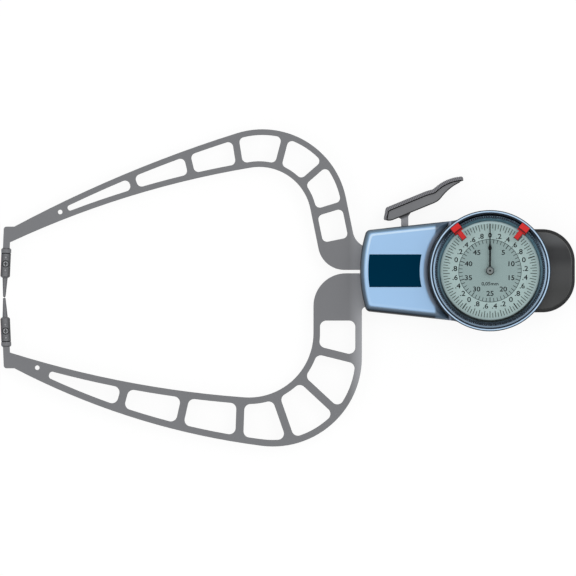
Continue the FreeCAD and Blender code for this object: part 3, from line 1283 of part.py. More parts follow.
def rear_grip():
    """Hollow palm grip with a raised front panel, wrapped round the right half of the dial's body."""
    block = grip_block(0, 0, GRIP_TOP)
    block = block.makeFillet(GRIP_ROUND, top_rim(block, GRIP_TOP, behind_dial))
    block = block.makeFillet(GRIP_BACK_ROUND, bottom_rim(block, 0, behind_dial))
    panel_top = GRIP_TOP + GRIP_PANEL_T
    panel = grip_block(GRIP_PANEL_INSET, GRIP_TOP, panel_top)
    panel = panel.makeChamfer(GRIP_PANEL_CHAMFER, top_rim(panel, panel_top, behind_dial))
    seat_r = DIAL_BODY_R + GRIP_CLEARANCE
    block = fused([block, panel]).cut(rod(CENTRE, seat_r, 0, panel_top))
    hollow = grip_block(GRIP_WALL, GRIP_WALL, GRIP_TOP - GRIP_WALL)
    hollow = hollow.cut(rod(CENTRE, seat_r + GRIP_WALL, 0, GRIP_TOP))
    block = block.cut(max(hollow.Solids, key=lambda s: s.Volume))
    for angle in GRIP_SCREW_ANGLES:
        block = block.cut(grip_screw_body(angle))
    return max(block.Solids, key=lambda s: s.Volume)


def radial(angle, radius, start, length):
    """Round bar along a radius of the dial, in the arms' middle plane."""
    direction = turn(angle)
    base = direction * start
    return Part.makeCylinder(radius, length, vec(base.x, base.y, ARM_MID), direction)


def grip_screw_body(angle):
    start = DIAL_BODY_R - WALL - GRIP_SCREW_SUNK
    head = radial(angle, SCREW_HEAD_R, start, SCREW_HEAD_T)
    return head.fuse(radial(angle, SCREW_R, start + SCREW_HEAD_T, GRIP_SCREW_LENGTH - SCREW_HEAD_T))


def grip_screws():
    start = DIAL_BODY_R - WALL - GRIP_SCREW_SUNK
    sockets = [radial(angle, GRIP_SOCKET_R, start, SOCKET_DEPTH) for angle in GRIP_SCREW_ANGLES]
    screws = [grip_screw_body(angle).cut(socket) for angle, socket in zip(GRIP_SCREW_ANGLES, sockets)]
    return Part.makeCompound(screws)


# Bridge, clamp and movement.
def hull(places, radius, low, high):
    """Plate whose outline wraps round circles of equal radius, given in order round it."""
    parts = [prism(polygon(places), low, high)]
    for a, b in zip(places, places[1:] + places[:1]):
        parts.append(rod(a, radius, low, high))
        parts.append(bar((a + b) * 0.5, heading(b - a), (b - a).Length, 2 * radius, low, high))
    return fused(parts)


def pivot_bridge():
    """Plate under the hub that holds the rear bush; it also presses on the clamp of the fixed arm."""
    corners = [BRIDGE_LUG, at_pivot(-1.6, 2.0), CLAMP_SCREWS[0], CLAMP_SCREWS[1]]
    plate = hull(corners, BRIDGE_MARGIN, BRIDGE_LOW, BRIDGE_TOP)
    plate = plate.cut(rod(PIVOT, BUSH_R, BRIDGE_LOW, BRIDGE_TOP))
    for place in CLAMP_SCREWS + (BRIDGE_LUG,):
        plate = plate.cut(rod(place, SCREW_HEAD_R + RUNNING, BRIDGE_LOW, BRIDGE_LOW + SCREW_HEAD_T))
        plate = plate.cut(rod(place, SCREW_R, BRIDGE_LOW, BRIDGE_TOP))
    return plate.cut(rod(LOWER_NOSE_LUG, COVER_LUG_R + LUG_CLEARANCE, BRIDGE_LOW, BRIDGE_TOP))


def fixed_arm_clamp():
    """Block between the bridge and the fixed arm, clear of the hub's nut and spring."""
    low, high = BRIDGE_TOP, ARM_LOW
    block = block_between(NOSE_X + CLAMP_START, CLAMP_MARGIN - LOWER_ARM.root_top, FIXED_ROOT_X,
                          SEAT_TOP_Y - CLAMP_MARGIN, low, high)
    block = block.cut(rod(PIVOT, RETURN_SPRING_R + SPRING_CLEARANCE, low, high))
    block = block.cut(rod(LOWER_NOSE_LUG, COVER_LUG_R + LUG_CLEARANCE, low, high))
    for place in CLAMP_SCREWS:
        block = block.cut(rod(place, SCREW_R, low, high))
    for place in CLAMP_DOWELS:
        block = block.cut(rod(place, DOWEL_R, low, high))
    return block


def fixed_arm_screws():
    length = ARM_TOP + CLAMP_SCREW_REACH - BRIDGE_LOW
    return Part.makeCompound([screw(place, BRIDGE_LOW, length) for place in CLAMP_SCREWS])


def fixed_arm_dowels():
    high = ARM_TOP + DOWEL_REACH
    return Part.makeCompound([rod(place, DOWEL_R, BRIDGE_TOP, high) for place in CLAMP_DOWELS])


def bridge_screw():
    return screw(BRIDGE_LUG, BRIDGE_LOW, BRIDGE_SCREW_LENGTH)


def sector_screws():
    """Two screws from the back that hold the gear sector on the arm's tail."""
    low = ARM_LOW - SCREW_HEAD_T
    return Part.makeCompound([screw(place, low, SECTOR_TOP - low) for place in SECTOR_SCREWS])


def movement_plate(low, centre_bore):
    plate = rod(CENTRE, PLATE_R, low, low + PLATE_T)
    plate = plate.cut(rod(CENTRE, centre_bore, low, low + PLATE_T))
    return plate.cut(rod(ARBOR, ARBOR_PIVOT_R + PIVOT_PLAY, low, low + PLATE_T))


def rear_plate():
    plate = movement_plate(REAR_PLATE_LOW, CENTRE_ARBOR_R + PIVOT_PLAY)
    for angle in PILLAR_ANGLES:
        plate = plate.cut(rod(turn(angle) * PILLAR_CIRCLE_R, SCREW_R, REAR_PLATE_LOW, REAR_PLATE_TOP))
    for angle in (PLATE_WINDOW_ANGLE, -PLATE_WINDOW_ANGLE):
        plate = plate.cut(rod(turn(angle) * PLATE_WINDOW_AT, PLATE_WINDOW_R, REAR_PLATE_LOW, REAR_PLATE_TOP))
    return plate


def front_plate():
    plate = movement_plate(FRONT_PLATE_LOW, HAND_TUBE_R + PIVOT_PLAY)
    for angle in PLATE_SCREW_ANGLES:
        plate = plate.cut(rod(turn(angle) * PILLAR_CIRCLE_R, SCREW_R, FRONT_PLATE_LOW, CAVITY_TOP))
    return plate


def movement_pillars():
    """Four turned pillars with tapped ends between the plates."""
    pillars = []
    for angle in PILLAR_ANGLES:
        place = turn(angle) * PILLAR_CIRCLE_R
        pillar = rod(place, PILLAR_R, REAR_PLATE_TOP, FRONT_PLATE_LOW)
        hole_top = REAR_PLATE_TOP + PILLAR_SCREW_REACH + HOLE_SPARE
        pillars.append(pillar.cut(rod(place, SCREW_R, REAR_PLATE_TOP, hole_top)))
    return Part.makeCompound(pillars)


def pillar_screws():
    low = REAR_PLATE_LOW - SCREW_HEAD_T
    length = REAR_PLATE_TOP + PILLAR_SCREW_REACH - low
    return Part.makeCompound([screw(turn(a) * PILLAR_CIRCLE_R, low, length) for a in PILLAR_ANGLES])


def movement_screws():
    low = FRONT_PLATE_LOW - SCREW_HEAD_T
    length = CAVITY_TOP + PLATE_SCREW_REACH - low
    return Part.makeCompound([screw(turn(a) * PILLAR_CIRCLE_R, low, length) for a in PLATE_SCREW_ANGLES])


# Bezel, dial and markers.
BEZEL_LOW = HOUSING_TOP + BEZEL_LIFT
SNAP_RING_LOW = HOUSING_TOP + SNAP_RING_HEIGHT
SNAP_RING_TOP = SNAP_RING_LOW + SNAP_RING_T
SNAP_RING_SPLIT = 1.5
RETAINER_SPLIT = 3.0
SEAL_WIDTH = 1.6
GROOVE_LOW = CREST - MARKER_GROOVE_DEPTH


def snap_ring_space():
    """Groove in the boss that holds the inner part of the snap ring."""
    inner = BOSS_R - SNAP_RING_WIDTH / 2 - RUNNING
    return pipe(CENTRE, BOSS_R + RUNNING, inner, SNAP_RING_LOW - RUNNING, SNAP_RING_TOP + RUNNING)


def bezel_snap_ring():
    """Split ring that keeps the bezel on the boss and lets it turn."""
    half = SNAP_RING_WIDTH / 2
    low, high = SNAP_RING_LOW, SNAP_RING_TOP
    ring = pipe(CENTRE, BOSS_R + half, BOSS_R - half, low, high)
    return ring.cut(bar(vec(BOSS_R, 0), 0, 4 * SNAP_RING_WIDTH, SNAP_RING_SPLIT, low, high))


def bezel_ring():
    """Turned bezel: polished rim, groove of the markers, steep slope and the flat seat of the ribbed ring."""
    groove_r = BOSS_R + SNAP_RING_WIDTH / 2 + RING_PLAY
    groove_low = SNAP_RING_LOW - RING_PLAY
    groove_top = SNAP_RING_TOP + RING_PLAY
    ring = turned([
        (BEZEL_SKIRT_R, BEZEL_LOW), (BEZEL_R - BEZEL_FOOT, BEZEL_LOW), (BEZEL_R, BEZEL_LOW + BEZEL_FOOT),
        (BEZEL_R, CREST), (BEZEL_GROOVE_R, CREST), (BEZEL_GROOVE_R, GROOVE_LOW), (BEZEL_CREST_R, GROOVE_LOW),
        (BEZEL_CREST_R, CREST - BEZEL_STEP), (BEZEL_RING_R, LIP_TOP), (BEZEL_LIP_R, LIP_TOP),
        (BEZEL_LIP_R, CRYSTAL_TOP), (BEZEL_BORE_R, CRYSTAL_TOP), (BEZEL_BORE_R, LEDGE),
        (BEZEL_SKIRT_R, LEDGE), (BEZEL_SKIRT_R, groove_top), (groove_r, groove_top),
        (groove_r, groove_low), (BEZEL_SKIRT_R, groove_low),
    ])
    outside = top_rim(ring, CREST, lambda edge: edge.Vertexes[0].X > BEZEL_GROOVE_R + RUNNING)
    ring = ring.makeFillet(BEZEL_RIM_ROUND, outside)
    groove = pipe(CENTRE, BEZEL_BORE_R + RETAINER_DEPTH + RUNNING, BEZEL_BORE_R, RETAINER_LOW, DIAL_LOW)
    return ring.cut(groove)


def bezel_seal():
    """Square-section friction ring on the boss."""
    middle = BOSS_R - BOSS_WALL / 2
    return pipe(CENTRE, middle + SEAL_WIDTH / 2, middle - SEAL_WIDTH / 2, BOSS_TOP, BOSS_TOP + BEZEL_SEAL_T)


def dial_retainer():
    """Split ring under the dial, sprung into the bezel's groove."""
    outer = BEZEL_BORE_R + RETAINER_DEPTH
    ring = pipe(CENTRE, outer, outer - RETAINER_WIDTH, RETAINER_LOW, DIAL_LOW)
    return ring.cut(bar(vec(BEZEL_BORE_R, 0), 0, 4 * RETAINER_WIDTH, RETAINER_SPLIT, RETAINER_LOW, DIAL_LOW))


def dial_plate():
    return pipe(CENTRE, BEZEL_BORE_R, HAND_TUBE_R + DIAL_HOLE_PLAY, DIAL_LOW, DIAL_TOP)


def dial_flange():
    """Ring with a sloping inside that spaces the crystal from the dial, notched on the right and below."""
    ring = turned([(BEZEL_BORE_R, DIAL_TOP), (BEZEL_BORE_R, FLANGE_TOP), (BEZEL_LIP_R, FLANGE_TOP),
                   (FLANGE_BOTTOM_R, DIAL_TOP + FLANGE_FOOT), (FLANGE_BOTTOM_R, DIAL_TOP)])
    notch_top = DIAL_TOP + 3 * FLANGE_FOOT
    for angle in (0, -90):
        place = turn(angle) * FLANGE_BOTTOM_R
        ring = ring.cut(bar(place, angle, 2 * FLANGE_NOTCH, FLANGE_NOTCH, DIAL_TOP, notch_top))
    return ring


def crystal_gasket():
    return pipe(CENTRE, BEZEL_BORE_R, BEZEL_LIP_R, FLANGE_TOP, CRYSTAL_LOW)


def crystal():
    return rod(CENTRE, BEZEL_BORE_R, CRYSTAL_LOW, CRYSTAL_TOP)


def marker():
    """Tolerance marker: a head hooked in the bezel's groove and a tongue over the crystal."""
    gap = 2 * RUNNING
    outer = BEZEL_GROOVE_R - gap
    foot = BEZEL_CREST_R + gap
    inner = outer - MARKER_HEAD
    facet_end = inner - MARKER_FACET
    tongue_end = facet_end - MARKER_TONGUE_LENGTH
    low = LIP_TOP + gap
    slope_top = CREST - BEZEL_STEP + gap
    profile = [(tongue_end, low), (BEZEL_RING_R - gap, low), (foot, slope_top), (foot, GROOVE_LOW + gap),
               (outer, GROOVE_LOW + gap), (outer, slope_top + MARKER_T), (inner, low + MARKER_T),
               (facet_end, low + MARKER_TONGUE_T), (tongue_end, low + MARKER_TONGUE_T)]
    block = Part.Face(Part.Wire(polygon([vec(0, r, z) for r, z in profile]))).extrude(vec(MARKER_WIDTH, 0))
    block.translate(vec(-MARKER_WIDTH / 2, 0))
    for side in (-1, 1):
        beside = vec(side * (MARKER_WIDTH + MARKER_TONGUE_WIDTH) / 2, (tongue_end + facet_end) / 2)
        block = block.cut(bar(beside, 90, facet_end - tongue_end, MARKER_WIDTH, low, low + MARKER_T))
    rim = pipe(CENTRE, BEZEL_R, BEZEL_GROOVE_R - gap, GROOVE_LOW, CREST + BEZEL_STEP)
    core = rod(CENTRE, BEZEL_CREST_R + gap, GROOVE_LOW, slope_top)
    return block.cut(rim).cut(core.cut(rod(CENTRE, BEZEL_RING_R, GROOVE_LOW, slope_top)))


def placed_marker(angle):
    shape = marker()
    shape.rotate(CENTRE, AXIS, angle)
    return shape


NODES = {
    "housing_body": housing_body,
    "front_cover": front_cover,
    "label_plate": label_plate,
    "rear_cover": rear_cover,
    "rear_cover_gasket": rear_cover_gasket,
    "rear_cover_screws": rear_cover_screws,
    "rear_grip": rear_grip,
    "grip_screws": grip_screws,
    "fixed_arm": fixed_arm,
    "fixed_arm_clamp": fixed_arm_clamp,
    "fixed_arm_screws": fixed_arm_screws,
    "fixed_arm_dowels": fixed_arm_dowels,
    "pivot_bridge": pivot_bridge,
    "bridge_screw": bridge_screw,
    "rear_bush": lambda: pivot_bush(BRIDGE_LOW, BRIDGE_TOP),
    "front_bush": lambda: pivot_bush(FRONT_BUSH_LOW, FRONT_BUSH_TOP),
    "return_spring": return_spring,
    "movement_rear_plate": rear_plate,
    "movement_front_plate": front_plate,
    "movement_pillars": movement_pillars,
    "pillar_screws": pillar_screws,
    "movement_screws": movement_screws,
    "hairspring_stud": hairspring_stud,
    "bezel_seal": bezel_seal,
    "bezel_snap_ring": bezel_snap_ring,
    "fixed_tip_holder": lambda: mirrored(holder(LOWER_ARM)),
    "fixed_tip_screw": lambda: mirrored(tip_screw(LOWER_ARM)),
    "fixed_contact_tip": lambda: mirrored(contact_tip(LOWER_ARM)),
    "moving_arm": moving_arm,
    "pivot_shaft": pivot_shaft,
    "pivot_nut": pivot_nut,
    "sector_gear": sector_gear,
    "sector_screws": sector_screws,
    "lever_grip": lever_grip,
    "lever_pad": lever_pad,
    "lever_pin": lever_pin,
    "moving_tip_holder": lambda: holder(UPPER_ARM),
    "moving_tip_screw": lambda: tip_screw(UPPER_ARM),
    "moving_contact_tip": lambda: contact_tip(UPPER_ARM),
    "pinion_arbor": pinion_arbor,
    "intermediate_wheel": intermediate_wheel,
    "transfer_wheel": lambda: transfer_gear(ARBOR, TRAIN_ANGLE, ARBOR_R),
    "hairspring": hairspring,
    "hairspring_collet": hairspring_collet,
    "centre_arbor": centre_arbor,
    "long_hand": long_hand,
    "hand_tube": hand_tube,
    "short_hand": short_hand,
    "bezel_ring": bezel_ring,
    "crystal": crystal,
    "crystal_gasket": crystal_gasket,
    "dial_flange": dial_flange,
    "dial_plate": dial_plate,
    "dial_retainer": dial_retainer,
    "marker_left": lambda: placed_marker(MARKER_ANGLE),
    "marker_right": lambda: placed_marker(-MARKER_ANGLE),
}

os.makedirs("parts", exist_ok=True)
for name, build in NODES.items():
    build().exportStep("parts/" + name + ".step")
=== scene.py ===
import bpy
import bmesh
import json
import math
from mathutils import Matrix, Vector
from mathutils.bvhtree import BVHTree


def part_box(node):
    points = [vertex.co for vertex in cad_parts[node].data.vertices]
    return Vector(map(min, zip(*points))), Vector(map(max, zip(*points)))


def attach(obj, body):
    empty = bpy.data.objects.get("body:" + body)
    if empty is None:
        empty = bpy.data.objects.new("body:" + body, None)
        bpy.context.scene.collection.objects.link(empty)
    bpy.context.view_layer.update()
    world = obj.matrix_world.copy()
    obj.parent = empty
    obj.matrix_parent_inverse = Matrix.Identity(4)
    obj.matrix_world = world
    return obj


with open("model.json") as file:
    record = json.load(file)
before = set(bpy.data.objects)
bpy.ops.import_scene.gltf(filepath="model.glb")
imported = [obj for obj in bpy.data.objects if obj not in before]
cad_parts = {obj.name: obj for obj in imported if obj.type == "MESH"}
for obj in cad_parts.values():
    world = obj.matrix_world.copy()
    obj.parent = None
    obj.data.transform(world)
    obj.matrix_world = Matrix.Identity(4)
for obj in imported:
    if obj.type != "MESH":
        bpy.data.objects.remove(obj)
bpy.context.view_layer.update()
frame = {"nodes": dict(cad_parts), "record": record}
NODES = frame["nodes"]
BODIES = frame["record"]["behaviour"]["bodies"]
MM = 0.001

# Places read from the frame. The dial's axis is the origin, and the arms reach towards -X.
NOSE_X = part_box("housing_body")[0].x
COVER_END_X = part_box("front_cover")[1].x
BEZEL_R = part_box("bezel_ring")[1].x
GRIP_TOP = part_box("rear_grip")[1].z
DIAL_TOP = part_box("dial_plate")[1].z
CRYSTAL_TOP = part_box("crystal")[1].z

# Angles and radii that the materials follow.
SIDE_FLARE = math.radians(6.2)
TIP_LEAN = math.radians(2.4)
TONGUE_END_R = 23.45 * MM
FACET_END_R = 24.35 * MM
RIB_OUTER_R = 26.08 * MM


# Colours and materials.
def linear(r, g, b):
    """Linear colour from the 0 to 255 values that a screen shows."""
    values = []
    for c in (r, g, b):
        c = c / 255.0
        values.append(c / 12.92 if c <= 0.04045 else ((c + 0.055) / 1.055) ** 2.4)
    return (values[0], values[1], values[2], 1.0)


def scaled(colour, k):
    return (min(colour[0] * k, 1.0), min(colour[1] * k, 1.0), min(colour[2] * k, 1.0), 1.0)


BLACK = linear(0, 0, 0)
ARM_GREY = linear(117, 118, 121)
LIGHT_BLUE = linear(158, 199, 240)
SLATE = linear(78, 98, 118)
DEEP_SLATE = linear(18, 24, 31)


class Look:
    """Shorthand for the nodes of a new material, or of another tree."""

    def __init__(self, name, tree=None):
        self.tree = tree
        if tree is None:
            self.material = bpy.data.materials.new(name)
            self.material.use_nodes = True
            self.tree = self.material.node_tree
            self.shader = self.tree.nodes["Principled BSDF"]
            self.place = self.add("ShaderNodeTexCoord").outputs["Object"]

    def add(self, kind, **settings):
        node = self.tree.nodes.new(kind)
        for key, value in settings.items():
            setattr(node, key, value)
        return node

    def link(self, source, target):
        self.tree.links.new(source, target)

    def feed(self, socket, value):
        if isinstance(value, bpy.types.NodeSocket):
            self.link(value, socket)
        else:
            socket.default_value = value

    def math(self, operation, a, b=0.0):
        node = self.add("ShaderNodeMath", operation=operation)
        self.feed(node.inputs[0], a)
        self.feed(node.inputs[1], b)
        return node.outputs[0]

    def both(self, a, b):
        """Product of two values, which is 1 only where both are."""
        return self.math("MULTIPLY", a, b)

    def length(self, a, b):
        """Length of the line whose two parts these are."""
        return self.math("SQRT", self.math("ADD", self.math("MULTIPLY", a, a), self.math("MULTIPLY", b, b)))

    def largest(self, a, b, soft):
        """The larger of two values, blended where they are close."""
        node = self.add("ShaderNodeMath", operation="SMOOTH_MAX")
        self.feed(node.inputs[0], a)
        self.feed(node.inputs[1], b)
        node.inputs[2].default_value = soft
        return node.outputs[0]

    def mix(self, factor, a, b):
        node = self.add("ShaderNodeMix", data_type="RGBA")
        self.feed(node.inputs[0], factor)
        self.feed(node.inputs[6], a)
        self.feed(node.inputs[7], b)
        return node.outputs[2]

    def span(self, value, low, high, to_low=0.0, to_high=1.0, smooth=False):
        """A value's stretch from low to high, drawn out to another stretch and held beyond its ends."""
        kind = "SMOOTHSTEP" if smooth else "LINEAR"
        node = self.add("ShaderNodeMapRange", clamp=True, interpolation_type=kind)
        self.feed(node.inputs["Value"], value)
        node.inputs["From Min"].default_value = low
        node.inputs["From Max"].default_value = high
        node.inputs["To Min"].default_value = to_low
        node.inputs["To Max"].default_value = to_high
        return node.outputs["Result"]

    def past(self, value, place, soft):
        """0 before a place and 1 past it."""
        return self.span(value, place - soft, place + soft)

    def before(self, value, place, soft):
        """1 before a place and 0 past it."""
        return self.span(value, place + soft, place - soft)

    def band(self, value, low, high, soft):
        """1 between low and high, with soft ends."""
        return self.both(self.past(value, low, soft), self.span(value, high - soft, high + soft, 1.0, 0.0))

    def noise(self, scale, detail, rough=0.55, stretch=None):
        place = self.place
        if stretch:
            mapping = self.add("ShaderNodeMapping")
            mapping.inputs["Scale"].default_value = stretch
            self.link(place, mapping.inputs["Vector"])
            place = mapping.outputs["Vector"]
        node = self.add("ShaderNodeTexNoise")
        node.inputs["Scale"].default_value = scale
        node.inputs["Detail"].default_value = detail
        node.inputs["Roughness"].default_value = rough
        self.link(place, node.inputs["Vector"])
        return node.outputs["Fac"]

    def vary(self, noise, least, most):
        """A number between two, following a noise's middle range."""
        return self.span(noise, 0.3, 0.7, least, most)

    def tint(self, noise, a, b):
        """A colour between two, following a noise's middle range."""
        return self.mix(self.vary(noise, 0.0, 1.0), a, b)

    def clouded(self, cloud, colour, least, most, high=0.68):
        """A colour made darker and lighter by a broad noise."""
        return self.mix(self.span(cloud, 0.35, high), scaled(colour, least), scaled(colour, most))

    def axes(self):
        """Places along X, Y and Z."""
        node = self.add("ShaderNodeSeparateXYZ")
        self.link(self.place, node.inputs[0])
        return node.outputs

    def radius(self):
        """Distance from the dial's axis."""
        x, y = self.axes()[:2]
        return self.length(x, y)

    def facing(self, axis):
        """The part of the surface's direction that lies along an axis."""
        geometry = self.add("ShaderNodeNewGeometry")
        node = self.add("ShaderNodeSeparateXYZ")
        self.link(geometry.outputs["Normal"], node.inputs[0])
        return node.outputs[axis]

    def edge(self, radius, amount=1.0):
        """The amount on sharp edges and 0 on flat faces."""
        bevel = self.add("ShaderNodeBevel", samples=6)
        bevel.inputs["Radius"].default_value = radius
        geometry = self.add("ShaderNodeNewGeometry")
        dot = self.add("ShaderNodeVectorMath", operation="DOT_PRODUCT")
        self.link(bevel.outputs[0], dot.inputs[0])
        self.link(geometry.outputs["True Normal"], dot.inputs[1])
        return self.span(dot.outputs["Value"], 0.985, 0.80, 0.0, amount)

    def stripes(self, degrees, pitch):
        """Wave from 0 to 1 across stripes that run at this angle from +X."""
        x, y = self.axes()[:2]
        across = math.radians(degrees + 90)
        along_x = self.math("MULTIPLY", x, math.cos(across) * 2 * math.pi / pitch)
        along_y = self.math("MULTIPLY", y, math.sin(across) * 2 * math.pi / pitch)
        return self.span(self.math("SINE", self.math("ADD", along_x, along_y)), -1, 1)

    def relief(self, height, strength, distance, round_edges=0.25 * MM):
        bump = self.add("ShaderNodeBump")
        bump.inputs["Strength"].default_value = strength
        bump.inputs["Distance"].default_value = distance
        self.link(height, bump.inputs["Height"])
        if round_edges:
            bevel = self.add("ShaderNodeBevel", samples=6)
            bevel.inputs["Radius"].default_value = round_edges
            self.link(bevel.outputs[0], bump.inputs["Normal"])
        self.link(bump.outputs[0], self.shader.inputs["Normal"])

    def finish(self, colour, rough, metallic=0.0, specular=0.5, coat=0.0):
        self.feed(self.shader.inputs["Base Color"], colour)
        self.feed(self.shader.inputs["Roughness"], rough)
        self.feed(self.shader.inputs["Metallic"], metallic)
        self.shader.inputs["Specular IOR Level"].default_value = specular
        self.shader.inputs["Coat Weight"].default_value = coat
        return self.material


def blasted_metal(name, colour, metallic=0.15, rough=0.55, arm=False, flanks=False):
    """Bead-blasted and anodised metal: faint clouding, fine grain, arrises darkened by painted shade with a
    few pale scuffs.
    """
    look = Look(name)
    cloud = look.noise(45.0, 4.0)
    grain = look.noise(5200.0, 2.0, 0.7)
    tone = look.clouded(cloud, colour, 0.965, 1.03, 0.7)
    tone = look.mix(look.span(grain, 0.3, 0.75, 0.0, 0.16), tone, scaled(colour, 1.25))
    # Painted shade on the arrises.
    border = look.edge(0.3 * MM, 0.75)
    if arm:
        x, y = look.axes()[:2]
        # The heel's arrises are hardly darker.
        heel_x = -226.2 * MM
        border = look.both(border, look.span(x, heel_x, heel_x + 2.7 * MM, 0.1, 1.0))
        # The housing's wall shades the arms' upper faces beside it more than in the photo, so they are paler.
        upwards = look.span(look.facing("Z"), 0.5, 0.9)
        beside_end = NOSE_X + 0.766 * MM
        beside = look.both(upwards, look.span(x, beside_end - 6.0 * MM, beside_end))
        tone = look.mix(beside, tone, scaled(colour, 1.9))
        # The lever's lower edge shades the stem. The edge is the line y = slope * x + rise.
        slope = 0.405
        rise = 42.95 * MM
        lower_edge = look.math("ADD", look.math("MULTIPLY", x, slope), rise)
        shade = look.span(look.math("SUBTRACT", lower_edge, y), 1.8 * MM, 0.4 * MM, 0.0, 0.85)
        stem_x = -48.25 * MM
        stem_y = 20.2 * MM
        shade = look.both(shade, look.past(x, stem_x, 0.25 * MM))
        shade = look.both(shade, look.past(y, stem_y, 0.2 * MM))
        tone = look.mix(shade, tone, scaled(colour, 0.12))
    if flanks:
        # Painted shade on the flanks that face sideways.
        tone = look.mix(look.span(look.facing("Z"), 0.70, 0.30), tone, scaled(colour, 0.3))
    tone = look.mix(border, tone, scaled(colour, 0.5))
    scuff = look.both(border, look.span(look.noise(900.0, 5.0), 0.55, 0.7, 0.0, 0.3))
    tone = look.mix(scuff, tone, scaled(colour, 1.6))
    look.relief(grain, 0.18, 0.06 * MM)
    return look.finish(tone, look.span(cloud, 0.3, 0.75, rough - 0.06, rough + 0.08), metallic, 0.3)


def turned_metal(name, colour, rough=0.32, metallic=0.9):
    """Lathe-turned metal: fine rings and a brighter edge."""
    look = Look(name)
    rings = look.noise(300.0, 3.0, 0.6, (1.0, 1.0, 40.0))
    cloud = look.noise(160.0, 3.0)
    tone = look.tint(rings, scaled(colour, 0.86), scaled(colour, 1.12))
    tone = look.mix(look.edge(0.12 * MM, 0.5), tone, scaled(colour, 1.7))
    look.relief(rings, 0.12, 0.04 * MM, 0.12 * MM)
    return look.finish(tone, look.vary(cloud, rough - 0.07, rough + 0.1), metallic)


def moulded(name, colour, rough):
    """Moulded plastic or rubber with a spark-eroded grain and rubbed edges."""
    look = Look(name)
    grain = look.noise(2600.0, 3.0, 0.62)
    tone = look.clouded(look.noise(70.0, 3.0), colour, 0.93, 1.07)
    rub = look.both(look.edge(0.35 * MM), look.span(look.noise(420.0, 4.0), 0.4, 0.7, 0.0, 0.4))
    tone = look.mix(rub, tone, scaled(colour, 1.5))
    look.relief(grain, 0.35, 0.05 * MM, 0.3 * MM)
    return look.finish(tone, look.vary(grain, rough - 0.08, rough + 0.1), 0.0, 0.45)


def label_print():
    """Navy printed plate: faint orange peel, and tiny pale chips on the edges."""
    look = Look("label_print")
    navy = linear(0, 47, 72)
    peel = look.noise(1500.0, 2.0, 0.5)
    cloud = look.noise(38.0, 3.0)
    tone = look.clouded(cloud, navy, 0.965, 1.03)
    chips = look.both(look.edge(0.2 * MM), look.span(look.noise(1300.0, 5.0), 0.58, 0.63, 0.0, 0.55))
    tone = look.mix(chips, tone, scaled(navy, 1.5))
    look.relief(peel, 0.07, 0.05 * MM)
    return look.finish(tone, look.vary(cloud, 0.56, 0.66), 0.0, 0.0)


def cover_paint():
    """Light blue panel inside a slate border at the outline and at the bezel, with a painted highlight line
    inside its edge; painted shade darkens the border to the outline, and painted light brightens the end wall
    beside the bezel.
    """
    look = Look("cover_paint")
    cloud = look.noise(30.0, 3.0)
    peel = look.noise(1500.0, 2.0, 0.5)
    x, y = look.axes()[:2]
    r = look.radius()
    level = look.facing("Z")
    # The panel's edge: two flared sides, an arc at the nose, and an arc and a straight at the bezel's end.
    panel_middle_y = 0.55 * MM
    panel_half = 22.77 * MM
    nose_r = 59.2 * MM
    end_x = COVER_END_X - 6.5 * MM
    end_r = BEZEL_R + 2.4 * MM
    across = look.math("ABSOLUTE", look.math("SUBTRACT", y, panel_middle_y))
    leaning = look.math("MULTIPLY", x, -math.sin(SIDE_FLARE))
    side = look.math("ADD", leaning, look.math("MULTIPLY", across, math.cos(SIDE_FLARE)))
    # Distances outwards from that edge.
    outer = look.largest(look.math("SUBTRACT", side, panel_half), look.math("SUBTRACT", r, nose_r), 1.6 * MM)
    ending = look.largest(look.math("SUBTRACT", x, end_x), look.math("SUBTRACT", end_r, r), 1.2 * MM)
    tone = look.clouded(cloud, LIGHT_BLUE, 0.975, 1.02, 0.7)
    # A painted highlight line inside the edge, stronger on the upper side.
    upper = look.span(y, -6.0 * MM, 14.0 * MM)
    highlight_strength = look.span(upper, 0.0, 1.0, 0.15, 0.85)
    line = look.both(look.band(outer, -0.8 * MM, 0.1 * MM, 0.15 * MM), highlight_strength)
    tone = look.mix(line, tone, linear(206, 232, 255))
    # The slate border has painted light on its upper side.
    border = look.mix(upper, SLATE, linear(100, 124, 144))
    tone = look.mix(look.span(outer, 0.0, 1.1 * MM, smooth=True), tone, border)
    # Painted shade darkens the border towards the outline.
    tone = look.mix(look.span(outer, 1.2 * MM, 2.6 * MM), tone, DEEP_SLATE)
    tone = look.mix(look.span(ending, -0.3 * MM, 1.0 * MM, smooth=True), tone, SLATE)
    # Painted light on the end wall beside the bezel, and painted shade on the other walls.
    wall_r = BEZEL_R + 3.0 * MM
    wall = look.both(look.span(level, 0.985, 0.90), look.before(r, wall_r, 0.4 * MM))
    wall = look.both(wall, look.span(across, 20.5 * MM, 15.0 * MM))
    tone = look.mix(wall, tone, linear(146, 160, 180))
    shaded_flank = look.both(look.span(level, 0.60, 0.15), look.past(r, wall_r, 0.4 * MM))
    tone = look.mix(shaded_flank, tone, DEEP_SLATE)
    look.relief(peel, 0.06, 0.05 * MM, 0.0)
    return look.finish(tone, look.vary(cloud, 0.30, 0.38), 0.0, 0.35, 0.15)


def housing_paint():
    """Dark slate paint, with a painted highlight on the step behind the front cover's end."""
    look = Look("housing_paint")
    cloud = look.noise(38.0, 3.0)
    peel = look.noise(1500.0, 2.0, 0.5)
    x = look.axes()[0]
    slate = linear(64, 80, 100)
    tone = look.clouded(cloud, slate, 0.95, 1.04)
    # Painted highlight on the upward faces of the step behind the front cover's end.
    step = look.band(x, COVER_END_X + 0.2 * MM, COVER_END_X + 1.4 * MM, 0.15 * MM)
    tone = look.mix(look.both(step, look.span(look.facing("Z"), 0.5, 0.9)), tone, linear(165, 182, 210))
    chips = look.both(look.edge(0.2 * MM), look.span(look.noise(1300.0, 5.0), 0.58, 0.63, 0.0, 0.5))
    tone = look.mix(chips, tone, scaled(slate, 0.4))
    look.relief(peel, 0.07, 0.05 * MM)
    return look.finish(tone, look.vary(cloud, 0.34, 0.44), 0.0, 0.4, 0.15)


